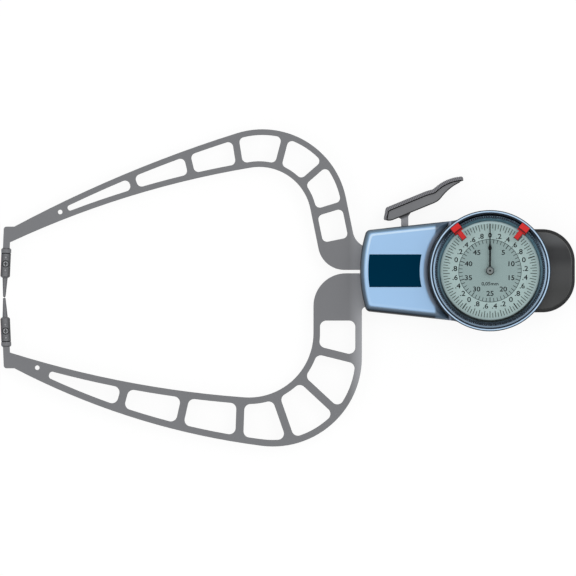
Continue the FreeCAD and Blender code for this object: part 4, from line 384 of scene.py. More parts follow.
def bezel_metal():
    """Lacquered rim with a painted highlight on its crown and painted shade beside it, a mirror slope inside
    it with painted shade, a dark groove of painted shade, and a dark seat round the crystal.
    """
    look = Look("bezel_metal")
    r = look.radius()
    cloud = look.noise(90.0, 3.0)
    rings = look.noise(260.0, 3.0, 0.6, (1.0, 1.0, 60.0))
    north = look.facing("Y")
    seat_end = BEZEL_R - 2.60 * MM
    slope_end = BEZEL_R - 1.80 * MM
    rim_start = BEZEL_R - 1.27 * MM
    crown_start = BEZEL_R - 0.97 * MM
    crown_end = BEZEL_R - 0.52 * MM
    wall_start = BEZEL_R - 0.29 * MM
    # Painted light and shade: the fall outside the crown is lighter towards the top of the dial.
    crown_highlight = look.tint(cloud, linear(186, 214, 240), linear(198, 225, 249))
    fall = look.mix(look.span(north, -0.5, 0.0), linear(44, 60, 76), linear(92, 116, 138))
    fall = look.mix(look.span(north, 0.0, 0.5), fall, linear(116, 140, 162))
    # Painted highlight on the crown, with painted shade inside it and on the outer wall.
    rim = look.mix(look.past(r, crown_start, 0.07 * MM), linear(40, 64, 88), crown_highlight)
    rim = look.mix(look.past(r, crown_end, 0.08 * MM), rim, fall)
    rim = look.mix(look.past(r, wall_start, 0.05 * MM), rim, linear(8, 16, 26))
    # Painted shade: the mirror slope is dark where it faces down the dial, and dimmer where it faces up.
    slope = look.tint(cloud, linear(158, 184, 208), linear(170, 195, 218))
    painted_light = look.both(look.span(north, -0.42, -0.14, 0.15, 1.0), look.span(north, 0.15, 0.62, 1.0, 0.55))
    slope = look.mix(painted_light, linear(2, 4, 6), slope)
    # Painted shade in the groove between the slope and the rim.
    tone = look.mix(look.past(r, slope_end + 0.03 * MM, 0.05 * MM), slope, linear(8, 18, 30))
    tone = look.mix(look.past(r, rim_start, 0.05 * MM), tone, rim)
    tone = look.mix(look.before(r, seat_end, 0.06 * MM), tone, linear(10, 22, 34))
    on_slope = look.band(r, seat_end, slope_end, 0.06 * MM)
    look.relief(rings, 0.03, 0.02 * MM, 0.06 * MM)
    rough = look.mix(on_slope, look.vary(cloud, 0.24, 0.34), look.vary(cloud, 0.14, 0.2))
    return look.finish(tone, rough, look.span(on_slope, 0.0, 1.0, 0.05, 1.0), 0.12)


def ribbed_metal():
    """Fine knurl: dark, with painted light making it lighter towards the top of the dial, and painted
    highlights speckled on the ribs' outer ends.
    """
    look = Look("ribbed_metal")
    speckle = look.noise(2000.0, 2.0, 0.7)
    # Painted highlights, speckled, on the ribs' outer ends.
    outwards = look.span(look.radius(), RIB_OUTER_R - 0.48 * MM, RIB_OUTER_R - 0.08 * MM, 0.15, 0.8)
    painted_light = look.both(look.span(speckle, 0.50, 0.60), outwards)
    y = look.axes()[1]
    # Painted light: lighter towards the top of the dial.
    painted_light_base = look.mix(look.span(y, -22.0 * MM, 18.0 * MM), linear(26, 44, 58), linear(66, 92, 110))
    tone = look.mix(painted_light, painted_light_base, linear(176, 204, 228))
    look.relief(speckle, 0.1, 0.03 * MM, 0.0)
    return look.finish(tone, look.vary(speckle, 0.4, 0.55), 0.0, 0.08)


def dial_print():
    """Printed two-tone dial with a faint grain, a paler edge of painted light towards the top, and painted
    shadow at the foot of the flange, darkest on the lower side.
    """
    look = Look("dial_print")
    y = look.axes()[1]
    r = look.radius()
    grain = look.noise(2400.0, 2.0)
    inner_field_r = 14.93 * MM
    pale_r = 22.45 * MM
    foot_r = 23.35 * MM
    outer = look.tint(grain, linear(180, 204, 202), linear(187, 210, 208))
    inner = look.tint(grain, linear(155, 177, 176), linear(161, 183, 182))
    tone = look.mix(look.past(r, inner_field_r, 0.03 * MM), inner, outer)
    # Painted light: the edge is paler towards the top of the dial.
    pale = look.mix(look.span(y, 6.0 * MM, 21.0 * MM), linear(180, 203, 203), linear(206, 230, 231))
    tone = look.mix(look.past(r, pale_r, 0.25 * MM), tone, pale)
    # Painted shadow of the flange on the dial's edge, darker towards the bottom.
    shade = look.mix(look.span(y, 0.0, -18.0 * MM), linear(150, 172, 174), linear(60, 72, 74))
    tone = look.mix(look.past(r, foot_r, 0.25 * MM), tone, shade)
    look.relief(grain, 0.05, 0.03 * MM, 0.0)
    return look.finish(tone, look.vary(grain, 0.55, 0.65), 0.0, 0.15)


def flange_paint():
    """Satin teal cone with painted shade on its lower side, and a dark foot of painted shade where it meets
    the dial.
    """
    look = Look("flange_paint")
    r = look.radius()
    grain = look.noise(1800.0, 3.0)
    north = look.facing("Y")
    # Painted shade: the cone is darker on the lower side of the dial.
    shade = look.mix(look.span(north, -0.7, 0.0), linear(96, 138, 156), linear(112, 146, 164))
    shade = look.mix(look.span(north, 0.0, 0.7), shade, linear(44, 58, 70))
    tone = look.mix(look.span(grain, 0.35, 0.7, 0.0, 0.2), shade, linear(56, 78, 90))
    # Painted shade at the foot where the cone meets the dial, darkest on the lower side.
    foot = look.mix(look.span(north, -0.7, 0.0), linear(84, 118, 132), linear(50, 78, 92))
    foot = look.mix(look.span(north, 0.0, 0.6), foot, linear(4, 8, 10))
    # The painted shade at the foot is wider on the lower side.
    foot_r = 24.1 * MM
    inner = look.math("SUBTRACT", r, look.span(north, 0.0, 0.7, 0.0, 0.4 * MM))
    tone = look.mix(look.before(inner, foot_r, 0.1 * MM), tone, foot)
    look.relief(grain, 0.2, 0.05 * MM, 0.1 * MM)
    return look.finish(tone, look.vary(grain, 0.45, 0.6), 0.0, 0.15)


def clear_crystal():
    look = Look("clear_crystal")
    scratch = look.noise(700.0, 4.0, 0.6, (1.0, 6.0, 1.0))
    look.relief(scratch, 0.01, 0.02 * MM, 0.0)
    look.shader.inputs["Alpha"].default_value = 0.03
    look.shader.inputs["IOR"].default_value = 1.49
    return look.finish(linear(60, 70, 74), look.vary(scratch, 0.12, 0.2), 0.0, 0.2)


def hand_paint(name, boss_r):
    """Black lacquered hand with a turned steel boss, painted shadow on the boss's rim, darkest on its lower
    side, and a dark centre.
    """
    look = Look(name)
    y = look.axes()[1]
    r = look.radius()
    grain = look.noise(1800.0, 2.0)
    # Turned rings: this many radians of the wave to a metre of radius.
    ring_rate = 24000.0
    rings = look.math("SINE", look.math("MULTIPLY", r, ring_rate))
    steel = look.mix(look.span(rings, -1, 1), linear(122, 130, 130), linear(138, 145, 145))
    # Painted shadow on the boss's rim, darkest on its lower side.
    rim = look.mix(look.span(y, 1.0 * MM, -1.2 * MM), linear(84, 96, 98), linear(8, 12, 14))
    steel = look.mix(look.past(r, boss_r - 0.4 * MM, 0.1 * MM), steel, rim)
    steel = look.mix(look.before(r, 0.5 * MM, 0.1 * MM), steel, linear(14, 15, 16))
    lacquer = look.tint(grain, linear(1, 3, 4), linear(5, 8, 9))
    tone = look.mix(look.past(r, boss_r + 0.03 * MM, 0.03 * MM), steel, lacquer)
    look.relief(grain, 0.05, 0.02 * MM, 0.06 * MM)
    return look.finish(tone, look.vary(grain, 0.45, 0.55), 0.0, 0.06)


def print_ink(name, colour):
    look = Look(name)
    grain = look.noise(2600.0, 2.0)
    tone = look.tint(grain, scaled(colour, 0.85), scaled(colour, 1.15))
    look.relief(grain, 0.05, 0.01 * MM, 0.0)
    return look.finish(tone, look.vary(grain, 0.5, 0.62), 0.0, 0.1)


def pad_rubber():
    """Soft pad with a fine diagonal hatch on its sides and painted shade on its edges."""
    look = Look("pad_rubber")
    colour = linear(129, 129, 134)
    hatch = look.stripes(62.0, 0.85 * MM)
    grain = look.noise(3400.0, 3.0, 0.62)
    tone = look.clouded(look.noise(70.0, 3.0), colour, 0.95, 1.05)
    tone = look.mix(look.span(hatch, 0.45, 0.95), tone, scaled(colour, 0.42))
    # Painted shade on the edges.
    tone = look.mix(look.edge(0.5 * MM, 0.9), tone, scaled(colour, 0.3))
    look.relief(look.math("ADD", hatch, look.math("MULTIPLY", grain, 0.4)), 0.3, 0.04 * MM, 0.2 * MM)
    return look.finish(tone, look.vary(grain, 0.55, 0.7), 0.0, 0.25)


def marker_plastic():
    """Red plastic: the head's crown, a facet and a dark fold below it in painted shade, and painted shade on
    the edges.
    """
    look = Look("marker_plastic")
    r = look.radius()
    grain = look.noise(1800.0, 3.0)
    crown = look.tint(grain, linear(214, 38, 38), linear(226, 46, 45))
    # Painted shade on the facet below the crown.
    tone = look.mix(look.before(r, FACET_END_R, 0.05 * MM), crown, linear(178, 26, 28))
    # Painted shade in the fold.
    fold = look.band(r, FACET_END_R - 0.29 * MM, FACET_END_R + 0.39 * MM, 0.06 * MM)
    tone = look.mix(fold, tone, linear(90, 2, 8))
    tone = look.mix(look.before(r, TONGUE_END_R, 0.05 * MM), tone, linear(200, 30, 30))
    # Painted shade on the edges.
    tone = look.mix(look.edge(0.3 * MM, 0.75), tone, linear(96, 12, 16))
    look.relief(grain, 0.12, 0.03 * MM, 0.2 * MM)
    return look.finish(tone, look.vary(grain, 0.38, 0.5), 0.0, 0.2)


def tip_holder_metal(name, screw, along):
    """Blackened sleeve: painted shade on its flanks, pale dimples of painted light in rings of painted shade,
    painted shade in the recess round the screw, and a dark upper end.
    """
    look = Look(name)
    x, y = look.axes()[:2]
    grain = look.noise(1500.0, 3.0)
    dimple_offset = 3.1 * MM
    dimple_r = 0.55 * MM
    dimple_border_r = 0.75 * MM
    recess_r = 1.75 * MM
    upper_end = 4.7 * MM
    # Places across and along the sleeve, which leans, from the screw in its middle.
    middle = [(a + b) / 2 for a, b in zip(*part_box(screw))]
    dx = look.math("SUBTRACT", x, middle[0])
    dy = look.math("MULTIPLY", look.math("SUBTRACT", y, middle[1]), along)
    cosine = math.cos(TIP_LEAN)
    sine = math.sin(TIP_LEAN)
    across = look.math("SUBTRACT", look.math("MULTIPLY", dx, cosine), look.math("MULTIPLY", dy, sine))
    rise = look.math("ADD", look.math("MULTIPLY", dx, sine), look.math("MULTIPLY", dy, cosine))
    width = look.math("ABSOLUTE", across)
    grey = look.tint(grain, linear(100, 101, 104), linear(114, 115, 118))
    # Painted shade on the flanks of the round sleeve.
    tone = look.mix(look.span(width, 0.8 * MM, 1.8 * MM, smooth=True), grey, linear(84, 85, 87))
    tone = look.mix(look.past(width, 2.0 * MM, 0.2 * MM), tone, linear(52, 53, 55))

    def reach(distance):
        return look.length(look.math("SUBTRACT", look.math("ABSOLUTE", rise), distance), across)

    dimple = reach(dimple_offset)
    # Painted shade round the dimples, and painted light inside them.
    tone = look.mix(look.before(dimple, dimple_border_r, 0.1 * MM), tone, linear(80, 81, 83))
    tone = look.mix(look.before(dimple, dimple_r, 0.05 * MM), tone, linear(146, 147, 150))
    # Painted shade in the recess round the screw.
    tone = look.mix(look.before(reach(0.0), recess_r, 0.1 * MM), tone, linear(46, 47, 49))
    tone = look.mix(look.span(rise, upper_end, upper_end + 0.15 * MM), tone, linear(30, 31, 33))
    look.relief(grain, 0.1, 0.03 * MM, 0.1 * MM)
    return look.finish(tone, look.vary(grain, 0.4, 0.55), 0.2, 0.3)


def grip_plastic():
    """Black plastic block with a paler raised panel, painted light and shade in bands across it, and a
    painted highlight on the panel's rim.
    """
    look = Look("grip_plastic")
    x, y, z = look.axes()
    grain = look.noise(2600.0, 3.0, 0.62)
    cloud = look.noise(70.0, 3.0)
    # Painted light and shade in bands across the panel, from top to bottom.
    panel = look.mix(look.span(y, 6.5 * MM, 0.0, smooth=True), linear(56, 57, 59), linear(80, 81, 82))
    panel = look.mix(look.span(y, -3.0 * MM, -10.0 * MM, smooth=True), panel, linear(70, 71, 71))
    panel = look.mix(look.span(y, 9.5 * MM, 15.0 * MM, smooth=True), panel, linear(94, 96, 98))
    # The bezel shades the face beside it, which the photo doesn't show, so the far end is darkened a little.
    panel = look.mix(look.span(x, 30.0 * MM, 36.0 * MM, 0.0, 0.18), panel, BLACK)
    tone = look.mix(look.past(z, GRIP_TOP - 0.08 * MM, 0.04 * MM), linear(38, 39, 40), panel)
    # Painted highlight on the panel's rim, stronger towards the top.
    panel_rim = look.band(z, GRIP_TOP - 0.42 * MM, GRIP_TOP - 0.08 * MM, 0.05 * MM)
    painted_light = look.both(panel_rim, look.span(y, -16.0 * MM, 4.0 * MM, 0.35, 0.8))
    tone = look.mix(painted_light, tone, linear(112, 113, 112))
    tone = look.mix(look.span(cloud, 0.35, 0.68, 0.0, 0.12), tone, linear(96, 96, 97))
    look.relief(grain, 0.35, 0.05 * MM, 0.3 * MM)
    return look.finish(tone, look.vary(grain, 0.38, 0.52), 0.0, 0.16)


def lever_plastic():
    """Smooth grey plastic with painted shade on its edges."""
    look = Look("lever_plastic")
    grain = look.noise(3000.0, 3.0, 0.62)
    tone = look.clouded(look.noise(70.0, 3.0), ARM_GREY, 0.95, 1.04)
    # Painted shade on the edges.
    tone = look.mix(look.edge(1.0 * MM), tone, scaled(ARM_GREY, 0.12))
    look.relief(grain, 0.2, 0.03 * MM, 0.3 * MM)
    return look.finish(tone, look.vary(grain, 0.45, 0.6), 0.0, 0.3)


def screw_metal(name, low, high):
    """Ground screw head with a painted shadow round its rim and painted shade in its slot."""
    look = Look(name)
    x, y, z = look.axes()
    grain = look.noise(1500.0, 3.0)
    rim_r = 1.2 * MM
    slot_depth = 0.13 * MM
    middle = (low + high) / 2
    out = look.length(look.math("SUBTRACT", x, middle.x), look.math("SUBTRACT", y, middle.y))
    grey = look.tint(grain, linear(122, 124, 127), linear(138, 140, 143))
    # Painted shadow round the head's rim.
    tone = look.mix(look.past(out, rim_r, 0.08 * MM), grey, linear(44, 45, 47))
    # Painted shade in the slot.
    tone = look.mix(look.before(z, high.z - slot_depth, 0.03 * MM), tone, linear(24, 25, 27))
    look.relief(grain, 0.1, 0.03 * MM, 0.1 * MM)
    return look.finish(tone, look.vary(grain, 0.35, 0.5), 0.3, 0.4)


LOOKS = {
    "arm_grey": blasted_metal("arm_anodised", ARM_GREY, arm=True),
    "housing_blue": cover_paint(),
    "housing_slate": housing_paint(),
    "label_navy": label_print(),
    "cover_grey": blasted_metal("rear_cover_metal", linear(92, 98, 106), 0.3, 0.5),
    "steel": turned_metal("steel", linear(168, 170, 172)),
    "dark_steel": blasted_metal("blackened_steel", linear(98, 99, 102), 0.3, 0.45),
    "tip_steel": blasted_metal("ground_steel", linear(106, 107, 110), 0.3, 0.42, flanks=True),
    "brass": turned_metal("brass", linear(214, 178, 96), 0.34, 0.95),
    "spring_steel": turned_metal("spring_steel", linear(92, 98, 112), 0.35, 0.9),
    "grip_black": grip_plastic(),
    "lever_grey": lever_plastic(),
    "pad_rubber": pad_rubber(),
    "gasket_rubber": moulded("gasket_rubber", linear(24, 24, 25), 0.7),
    "bezel_blue": bezel_metal(),
    "flange_navy": flange_paint(),
    "dial_green": dial_print(),
    "crystal": clear_crystal(),
    "marker_red": marker_plastic(),
    "hand_black": hand_paint("short_hand_lacquer", 1.4 * MM),
}


def dress(node, material):
    """Gives a CAD node its procedural material through its object's slots."""
    item = NODES[node]
    if not item.material_slots:
        item.data.materials.append(material)
    for slot in item.material_slots:
        slot.link = "OBJECT"
        slot.material = material


for entry in frame["record"]["subparts"]:
    dress(entry["node"], LOOKS[entry["material_slot"]])
dress("long_hand", hand_paint("long_hand_lacquer", 1.93 * MM))
for side, along in (("fixed", -1.0), ("moving", 1.0)):
    screw = side + "_tip_screw"
    holder = side + "_tip_holder"
    dress(screw, screw_metal(screw + "_metal", *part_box(screw)))
    dress(holder, tip_holder_metal(holder + "_metal", screw, along))


# Shared helpers of the new pieces.
def add_piece(name, mesh, material, body):
    piece = bpy.data.objects.new(name, mesh)
    bpy.context.scene.collection.objects.link(piece)
    piece.data.materials.clear()
    piece.data.materials.append(material)
    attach(piece, body)


def mesh_of(bm, name):
    mesh = bpy.data.meshes.new(name)
    bm.to_mesh(mesh)
    bm.free()
    return mesh


def block(bm, matrix, low, high):
    """Adds a box with corners low and high to the mesh, moved by matrix."""
    made = bmesh.ops.create_cube(bm, size=1.0)["verts"]
    size = [h - l for l, h in zip(low, high)]
    middle = [(h + l) / 2 for l, h in zip(low, high)]
    place = matrix @ Matrix.Translation(middle) @ Matrix.Diagonal((size[0], size[1], size[2], 1.0))
    bmesh.ops.transform(bm, matrix=place, verts=made)


def join_loops(bm, loops):
    """Adds the faces between neighbouring closed loops of as many corners each."""
    for a, b in zip(loops, loops[1:]):
        for i in range(len(a)):
            j = (i + 1) % len(a)
            bm.faces.new((a[i], a[j], b[j], b[i]))


def clockwise(degrees):
    return Matrix.Rotation(math.radians(-degrees), 4, "Z")


# Printed dial. Both scales start at the top and run clockwise.
PRINT_T = 0.012 * MM
LETTER_WIDTH = 1.12
CIRCLE_STEPS = 180
CIRCLE_R = 14.89 * MM
CIRCLE_WIDTH = 0.24 * MM
OUTER_DIVISIONS = 100
OUTER_SCALE_R = 22.3 * MM
INNER_DIVISIONS = 50
INNER_SCALE_R = 14.9 * MM
# Each kind of graduation: every nth one, where it ends inwards, and its width.
OUTER_KINDS = ((1, 20.1 * MM, 0.30 * MM), (2, 19.2 * MM, 0.30 * MM), (20, 19.1 * MM, 0.50 * MM))
INNER_KINDS = ((1, 13.1 * MM, 0.27 * MM), (5, 12.7 * MM, 0.36 * MM))
OUTER_TEXTS = ("0", ".2", ".4", ".6", ".8")
OUTER_TEXT_COUNT = 25
OUTER_TEXT_R = 16.9 * MM
INNER_TEXT_STEP = 5
INNER_TEXT_COUNT = 10
INNER_TEXT_R = 10.75 * MM
DIVISION_VALUE_Y = -6.3 * MM


def ticks(name, count, outer, kinds):
    """Graduations from the outer radius in. Of the kinds that fit a graduation, the last counts."""
    bm = bmesh.new()
    for i in range(count):
        inner, width = [kind[1:] for kind in kinds if i % kind[0] == 0][-1]
        low = (-width / 2, inner, DIAL_TOP - PRINT_T)
        block(bm, clockwise(i * 360.0 / count), low, (width / 2, outer, DIAL_TOP + PRINT_T))
    return mesh_of(bm, name)


def ring(name, outer, inner, low, high):
    bm = bmesh.new()
    loops = []
    turns = [2 * math.pi * i / CIRCLE_STEPS for i in range(CIRCLE_STEPS)]
    for radius, z in ((outer, low), (outer, high), (inner, high), (inner, low)):
        loops.append([bm.verts.new((radius * math.cos(a), radius * math.sin(a), z)) for a in turns])
    join_loops(bm, loops + loops[:1])
    bmesh.ops.recalc_face_normals(bm, faces=bm.faces)
    return mesh_of(bm, name)


def letter_mesh(text, size, bold):
    """Flat text, made wider by a shallow bevel: a moved outline would fill up the figure four."""
    curve = bpy.data.curves.new("label_text", "FONT")
    curve.body = text
    curve.size = size
    curve.bevel_depth = bold
    curve.bevel_resolution = 0
    curve.resolution_u = 3
    holder = bpy.data.objects.new("label_text", curve)
    made = bpy.data.meshes.new_from_object(holder)
    bpy.data.objects.remove(holder)
    bpy.data.curves.remove(curve)
    return made


def extent(mesh):
    low = [min(v.co[k] for v in mesh.vertices) for k in range(2)]
    high = [max(v.co[k] for v in mesh.vertices) for k in range(2)]
    return low, high


def lettering(name, labels, digit_height, bold):
    """Upright labels, each (text, x, y), centred on their places and drawn a little wide."""
    low, high = extent(letter_mesh("0", 1.0, 0.0))
    size = (digit_height - 2 * bold) / (high[1] - low[1])
    bm = bmesh.new()
    for text, x, y in labels:
        made = letter_mesh(text, size, bold)
        made.transform(Matrix.Diagonal((LETTER_WIDTH, 1.0, PRINT_T / bold, 1.0)))
        low, high = extent(made)
        centred = (x - (low[0] + high[0]) / 2, y - (low[1] + high[1]) / 2, DIAL_TOP)
        made.transform(Matrix.Translation(centred))
        bm.from_mesh(made)
        bpy.data.meshes.remove(made)
    return mesh_of(bm, name)


def round_labels(texts, radius):
    """Labels spread evenly round the dial, each (text, x, y)."""
    labels = []
    for i, text in enumerate(texts):
        angle = 2 * math.pi * i / len(texts)
        labels.append((text, radius * math.sin(angle), radius * math.cos(angle)))
    return labels


INK = print_ink("dial_ink", linear(10, 14, 16))
FINE_INK = print_ink("dial_ink_fine", linear(44, 56, 58))
for name, count, outer, kinds in (("outer_graduations", OUTER_DIVISIONS, OUTER_SCALE_R, OUTER_KINDS),
                                  ("inner_graduations", INNER_DIVISIONS, INNER_SCALE_R, INNER_KINDS)):
    add_piece(name, ticks(name, count, outer, kinds), INK, "bezel")
circle = ring("scale_circle", CIRCLE_R + CIRCLE_WIDTH / 2, CIRCLE_R - CIRCLE_WIDTH / 2,
              DIAL_TOP - PRINT_T, DIAL_TOP + PRINT_T)
add_piece("scale_circle", circle, FINE_INK, "bezel")

outer_texts = [OUTER_TEXTS[i % len(OUTER_TEXTS)] for i in range(OUTER_TEXT_COUNT)]
inner_texts = [str(INNER_TEXT_STEP * i) for i in range(INNER_TEXT_COUNT)]
division_value = [("0,05mm", 0.0, DIVISION_VALUE_Y)]
for name, labels, height, bold in (
        ("outer_numbers", round_labels(outer_texts, OUTER_TEXT_R), 2.45 * MM, 0.06 * MM),
        ("inner_numbers", round_labels(inner_texts, INNER_TEXT_R), 2.40 * MM, 0.06 * MM),
        ("division_value", division_value, 1.65 * MM, 0.04 * MM)):
    add_piece(name, lettering(name, labels, height, bold), INK, "bezel")


# Knurled ring between the crystal and the bezel's slope.
RIB_COUNT = 150
RIB_WIDTH = 0.16 * MM
RIB_INNER_R = 25.05 * MM
RIB_HALF_HEIGHT = 0.14 * MM
RIB_LEAN = math.radians(32.0)
RIB_MIDDLE_Z = CRYSTAL_TOP + 0.25 * MM


def knurl(name):
    """Two crossing sets of short ribs round the dial."""
    bm = bmesh.new()
    half = (RIB_OUTER_R - RIB_INNER_R) / 2 / math.cos(RIB_LEAN)
    low = (-RIB_WIDTH / 2, -half, RIB_MIDDLE_Z - RIB_HALF_HEIGHT)
    high = (RIB_WIDTH / 2, half, RIB_MIDDLE_Z + RIB_HALF_HEIGHT)
    middle = Matrix.Translation((0, (RIB_INNER_R + RIB_OUTER_R) / 2, 0))
    for i in range(RIB_COUNT):
        spoke = clockwise(i * 360.0 / RIB_COUNT) @ middle
        for side in (-1, 1):
            block(bm, spoke @ Matrix.Rotation(side * RIB_LEAN, 4, "Z"), low, high)
    return mesh_of(bm, name)


add_piece("ribbed_ring", knurl("ribbed_ring"), ribbed_metal(), "bezel")


# Painted shadow: dark floors of the flange's two notches.
NOTCH_ANGLES = (90, 180)
NOTCH_HALF = 0.27 * MM
NOTCH_START_R = 23.68 * MM
NOTCH_END_R = 24.22 * MM
NOTCH_LOW = DIAL_TOP + 0.02 * MM
NOTCH_HIGH = DIAL_TOP + 0.25 * MM


def notch_floors(name):
    bm = bmesh.new()
    for degrees in NOTCH_ANGLES:
        low = (-NOTCH_HALF, NOTCH_START_R, NOTCH_LOW)
        block(bm, clockwise(degrees), low, (NOTCH_HALF, NOTCH_END_R, NOTCH_HIGH))
    return mesh_of(bm, name)


shadow_look = moulded("notch_shadow", linear(8, 12, 14), 0.8)
add_piece("notch_floors", notch_floors("notch_floors"), shadow_look, "bezel")


# Painted shade: dark strips on the edges of the tolerance markers, on their lower sides.
MARKER_ANGLE = 38.5
MARKER_HALF = 2.25 * MM
TONGUE_HALF = 1.15 * MM
TONGUE_START_R = 19.55 * MM
EDGE_WIDTH = 0.32 * MM
EDGE_DEPTH = 0.5 * MM
EDGE_SINK = 0.02 * MM
HEAD_EDGE_END_R = 27.35 * MM
HEAD_DROP = 0.03 * MM
FACET_DROP = 0.85 * MM
TONGUE_DROP = 1.15 * MM


def strip(bm, matrix, points, low_x, high_x):
    """Adds a bar whose top follows the points (radius, height)."""
    loops = []
    for radius, height in points:
        floor_z = height - EDGE_DEPTH
        corners = ((low_x, height), (high_x, height), (high_x, floor_z), (low_x, floor_z))
        loops.append([bm.verts.new(matrix @ Vector((x, radius, z))) for x, z in corners])
    join_loops(bm, loops)
    bm.faces.new(loops[0])
    bm.faces.new(loops[-1][::-1])


def marker_shade_strips(name, degrees):
    """Dark strips of painted shade on the edges of the marker that stands this far from the top, on the side
    away from the top.
    """
    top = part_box(name)[1].z - EDGE_SINK
    flat = top - TONGUE_DROP
    side = math.copysign(1.0, degrees)
    head = [(TONGUE_END_R, flat), (FACET_END_R, top - FACET_DROP), (HEAD_EDGE_END_R, top - HEAD_DROP)]
    shoulder = [(TONGUE_END_R - EDGE_WIDTH, flat), (TONGUE_END_R, flat)]
    tongue = [(TONGUE_START_R, flat), (TONGUE_END_R, flat)]
    point = [(TONGUE_START_R - EDGE_WIDTH, flat), (TONGUE_START_R, flat)]
    bm = bmesh.new()
    for points, near, far in ((head, MARKER_HALF, MARKER_HALF + EDGE_WIDTH),
                              (shoulder, TONGUE_HALF, MARKER_HALF + EDGE_WIDTH),
                              (tongue, TONGUE_HALF, TONGUE_HALF + EDGE_WIDTH),
                              (point, -TONGUE_HALF, TONGUE_HALF + EDGE_WIDTH)):
        low_x, high_x = sorted((side * near, side * far))
        strip(bm, clockwise(degrees), points, low_x, high_x)
    bmesh.ops.recalc_face_normals(bm, faces=bm.faces)
    return mesh_of(bm, name + "_edges")


marker_shade_look = moulded("marker_shadow", linear(74, 8, 12), 0.6)
for side, sign in (("left", -1), ("right", 1)):
    edges = marker_shade_strips("marker_" + side, sign * MARKER_ANGLE)
    add_piece("marker_" + side + "_edges", edges, marker_shade_look, side + "_marker")


# Dark lines of the lever: its pad's parting line, and painted shade along its body's lower edges, on both
# faces.
SAME_PLACE = 1e-6
SHARP_ANGLE = 0.7
PARTING_WIDTH = 0.42 * MM
PARTING_PROUD = 0.03 * MM
OUTLINE_WIDTH = 0.46 * MM
OUTLINE_PROUD = 0.02 * MM
PAD_MARGIN = 0.6 * MM


def surface_of(node):
    """Search tree of a node's faces."""
    mesh = NODES[node].data
    return BVHTree.FromPolygons([v.co for v in mesh.vertices], [list(p.vertices) for p in mesh.polygons])


def levels_of(node):
    """Heights of a node's bottom and top."""
    return [corner.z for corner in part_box(node)]


def lies_at(level, p, q):
    return abs(p.z - level) < SAME_PLACE and abs(q.z - level) < SAME_PLACE


def bar(bm, p, q, length, width, low, high):
    """Adds a bar along the line from p to q and about its middle, between two heights above the line."""
    turn = Matrix.Rotation(math.atan2(q.y - p.y, q.x - p.x), 4, "Z")
    place = Matrix.Translation((p + q) / 2) @ turn
    block(bm, place, (-length / 2, -width / 2, low), (length / 2, width / 2, high))


def seam(name, node, other, reach, width, proud):
    """Line on the top and bottom of a node, along the edges that lie within reach of another node."""
    mesh = NODES[node].data
    neighbour = surface_of(other)
    levels = list(zip(levels_of(node), levels_of(other)))
    bm = bmesh.new()
    for edge in mesh.edges:
        p, q = (mesh.vertices[i].co for i in edge.vertices)
        for level, other_level in levels:
            if not lies_at(level, p, q) or (q - p).length < SAME_PLACE:
                continue
            if max(neighbour.find_nearest(point)[3] for point in (p, q, (p + q) / 2)) > reach:
                continue
            outside = math.copysign(proud, level - other_level)
            low, high = sorted((other_level - level, outside))
            bar(bm, p, q, (q - p).length + width * 0.6, width, low, high)
    return mesh_of(bm, name)


def outline(name, node, other, reach, width, proud):
    """Line on the top and bottom of a node, along its sharp edges that stand clear of another node."""
    neighbour = surface_of(other)
    levels = levels_of(node)
    shape = bmesh.new()
    shape.from_mesh(NODES[node].data)
    bmesh.ops.remove_doubles(shape, verts=shape.verts, dist=SAME_PLACE)
    bm = bmesh.new()
    for edge in shape.edges:
        p, q = (v.co for v in edge.verts)
        sharp = len(edge.link_faces) == 2 and edge.calc_face_angle() > SHARP_ANGLE
        level = [z for z in levels if lies_at(z, p, q)]
        if not sharp or not level or neighbour.find_nearest((p + q) / 2)[3] < reach:
            continue
        low, high = sorted((0.0, math.copysign(proud, level[0] - sum(levels) / 2)))
        bar(bm, p, q, (q - p).length, width, low, high)
    shape.free()
    return mesh_of(bm, name)


lever_body = [body for body, members in BODIES.items() if "lever_pad" in members][0]
line_look = moulded("parting_shadow", linear(18, 18, 19), 0.8)
pad_height = levels_of("lever_pad")[1] - levels_of("lever_grip")[1]
reach = pad_height + 0.02 * MM
parting = seam("parting_line", "lever_pad", "lever_grip", reach, PARTING_WIDTH, PARTING_PROUD)
add_piece("parting_line", parting, line_look, lever_body)
# Painted shade along the lever body's edges.
lower = outline("lever_outline", "lever_grip", "lever_pad", PAD_MARGIN, OUTLINE_WIDTH, OUTLINE_PROUD)
add_piece("lever_outline", lower, line_look, lever_body)


# Floor, light and camera.
FLOOR_HALF = 12.0
FLOOR_Z = -0.1 * MM
WORLD_LIGHT = 0.58
MIDDLE = Vector((-95.99 * MM, -8.2 * MM, 12.0 * MM))
FRAME_WIDTH = 274.0 * MM
CAMERA_HEIGHT = 12.5
SENSOR_WIDTH = 36.0


def seen_directly(look):
    """1 for rays from the camera and for those that metal and glass send on."""
    path = look.add("ShaderNodeLightPath")
    straight = look.math("MAXIMUM", path.outputs["Is Camera Ray"], path.outputs["Is Transmission Ray"])
    return look.math("MAXIMUM", straight, path.outputs["Is Glossy Ray"])


def floor_material():
    """White floor that keeps a faint shadow of the gauge."""
    look = Look("floor_white")
    look.tree.nodes.remove(look.shader)
    output = [n for n in look.tree.nodes if n.type == "OUTPUT_MATERIAL"][0]
    matt = look.add("ShaderNodeBsdfDiffuse")
    matt.inputs["Color"].default_value = (0.86, 0.86, 0.86, 1.0)
    faint = look.add("ShaderNodeBsdfDiffuse")
    faint.inputs["Color"].default_value = (0.14, 0.14, 0.14, 1.0)
    lift = look.add("ShaderNodeEmission")
    lift.inputs["Strength"].default_value = 0.89
    lifted = look.add("ShaderNodeAddShader")
    look.link(lift.outputs[0], lifted.inputs[0])
    look.link(faint.outputs[0], lifted.inputs[1])
    seen = look.add("ShaderNodeMixShader")
    look.link(seen_directly(look), seen.inputs[0])
    look.link(matt.outputs[0], seen.inputs[1])
    look.link(lifted.outputs[0], seen.inputs[2])
    look.link(seen.outputs[0], output.inputs["Surface"])
    return look.material


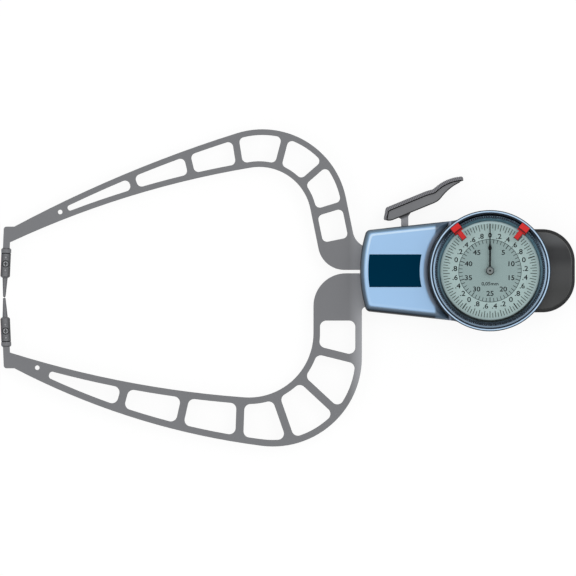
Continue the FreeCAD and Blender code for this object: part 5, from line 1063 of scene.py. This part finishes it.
def studio_world():
    """Even white surroundings, with a soft dark patch low in front that gives the metal its shape."""
    world = bpy.data.worlds.new("studio")
    world.use_nodes = True
    look = Look("studio", world.node_tree)
    parts = look.add("ShaderNodeSeparateXYZ")
    look.link(look.add("ShaderNodeTexCoord").outputs["Generated"], parts.inputs[0])
    y, z = parts.outputs[1:]
    low = look.span(look.math("ABSOLUTE", z), 0.65, 0.25, smooth=True)
    front = look.span(y, -0.30, -0.75, smooth=True)
    shade = look.span(look.both(low, front), 0.0, 1.0, 1.0, 0.01)
    # The camera itself sees plain white everywhere.
    shade = look.math("MAXIMUM", shade, look.add("ShaderNodeLightPath").outputs["Is Camera Ray"])
    level = look.span(seen_directly(look), 0.0, 1.0, WORLD_LIGHT, 1.0)
    background = world.node_tree.nodes["Background"]
    background.inputs["Color"].default_value = (1.0, 1.0, 1.0, 1.0)
    look.link(look.both(shade, level), background.inputs["Strength"])
    return world


def lamp(name, place, target, size, power):
    data = bpy.data.lights.new(name, "AREA")
    data.shape = "SQUARE"
    data.size = size
    data.energy = power
    holder = bpy.data.objects.new(name, data)
    holder.location = place
    holder.rotation_euler = (Vector(target) - Vector(place)).to_track_quat("-Z", "Y").to_euler()
    bpy.context.scene.collection.objects.link(holder)


floor_mesh = bpy.data.meshes.new("floor")
corners = [(x * FLOOR_HALF, y * FLOOR_HALF, 0) for x, y in ((-1, -1), (1, -1), (1, 1), (-1, 1))]
floor_mesh.from_pydata(corners, [], [(0, 1, 2, 3)])
floor = bpy.data.objects.new("floor", floor_mesh)
floor.location = (0, 0, FLOOR_Z)
floor.data.materials.append(floor_material())
bpy.context.scene.collection.objects.link(floor)

bpy.context.scene.world = studio_world()
lamp("key_light", (0.45, 0.25, 1.9), MIDDLE, 1.1, 9.6)
lamp("fill_light", (-0.7, -0.35, 1.8), MIDDLE, 1.3, 6.0)

camera_data = bpy.data.cameras.new("camera")
camera_data.sensor_width = SENSOR_WIDTH
camera_data.lens = SENSOR_WIDTH * (CAMERA_HEIGHT - MIDDLE.z) / FRAME_WIDTH
camera_data.clip_end = 50.0
camera = bpy.data.objects.new("camera", camera_data)
camera.location = (MIDDLE.x, MIDDLE.y, CAMERA_HEIGHT)
bpy.context.scene.collection.objects.link(camera)
bpy.context.scene.camera = camera
bpy.context.scene.view_settings.view_transform = "Standard"
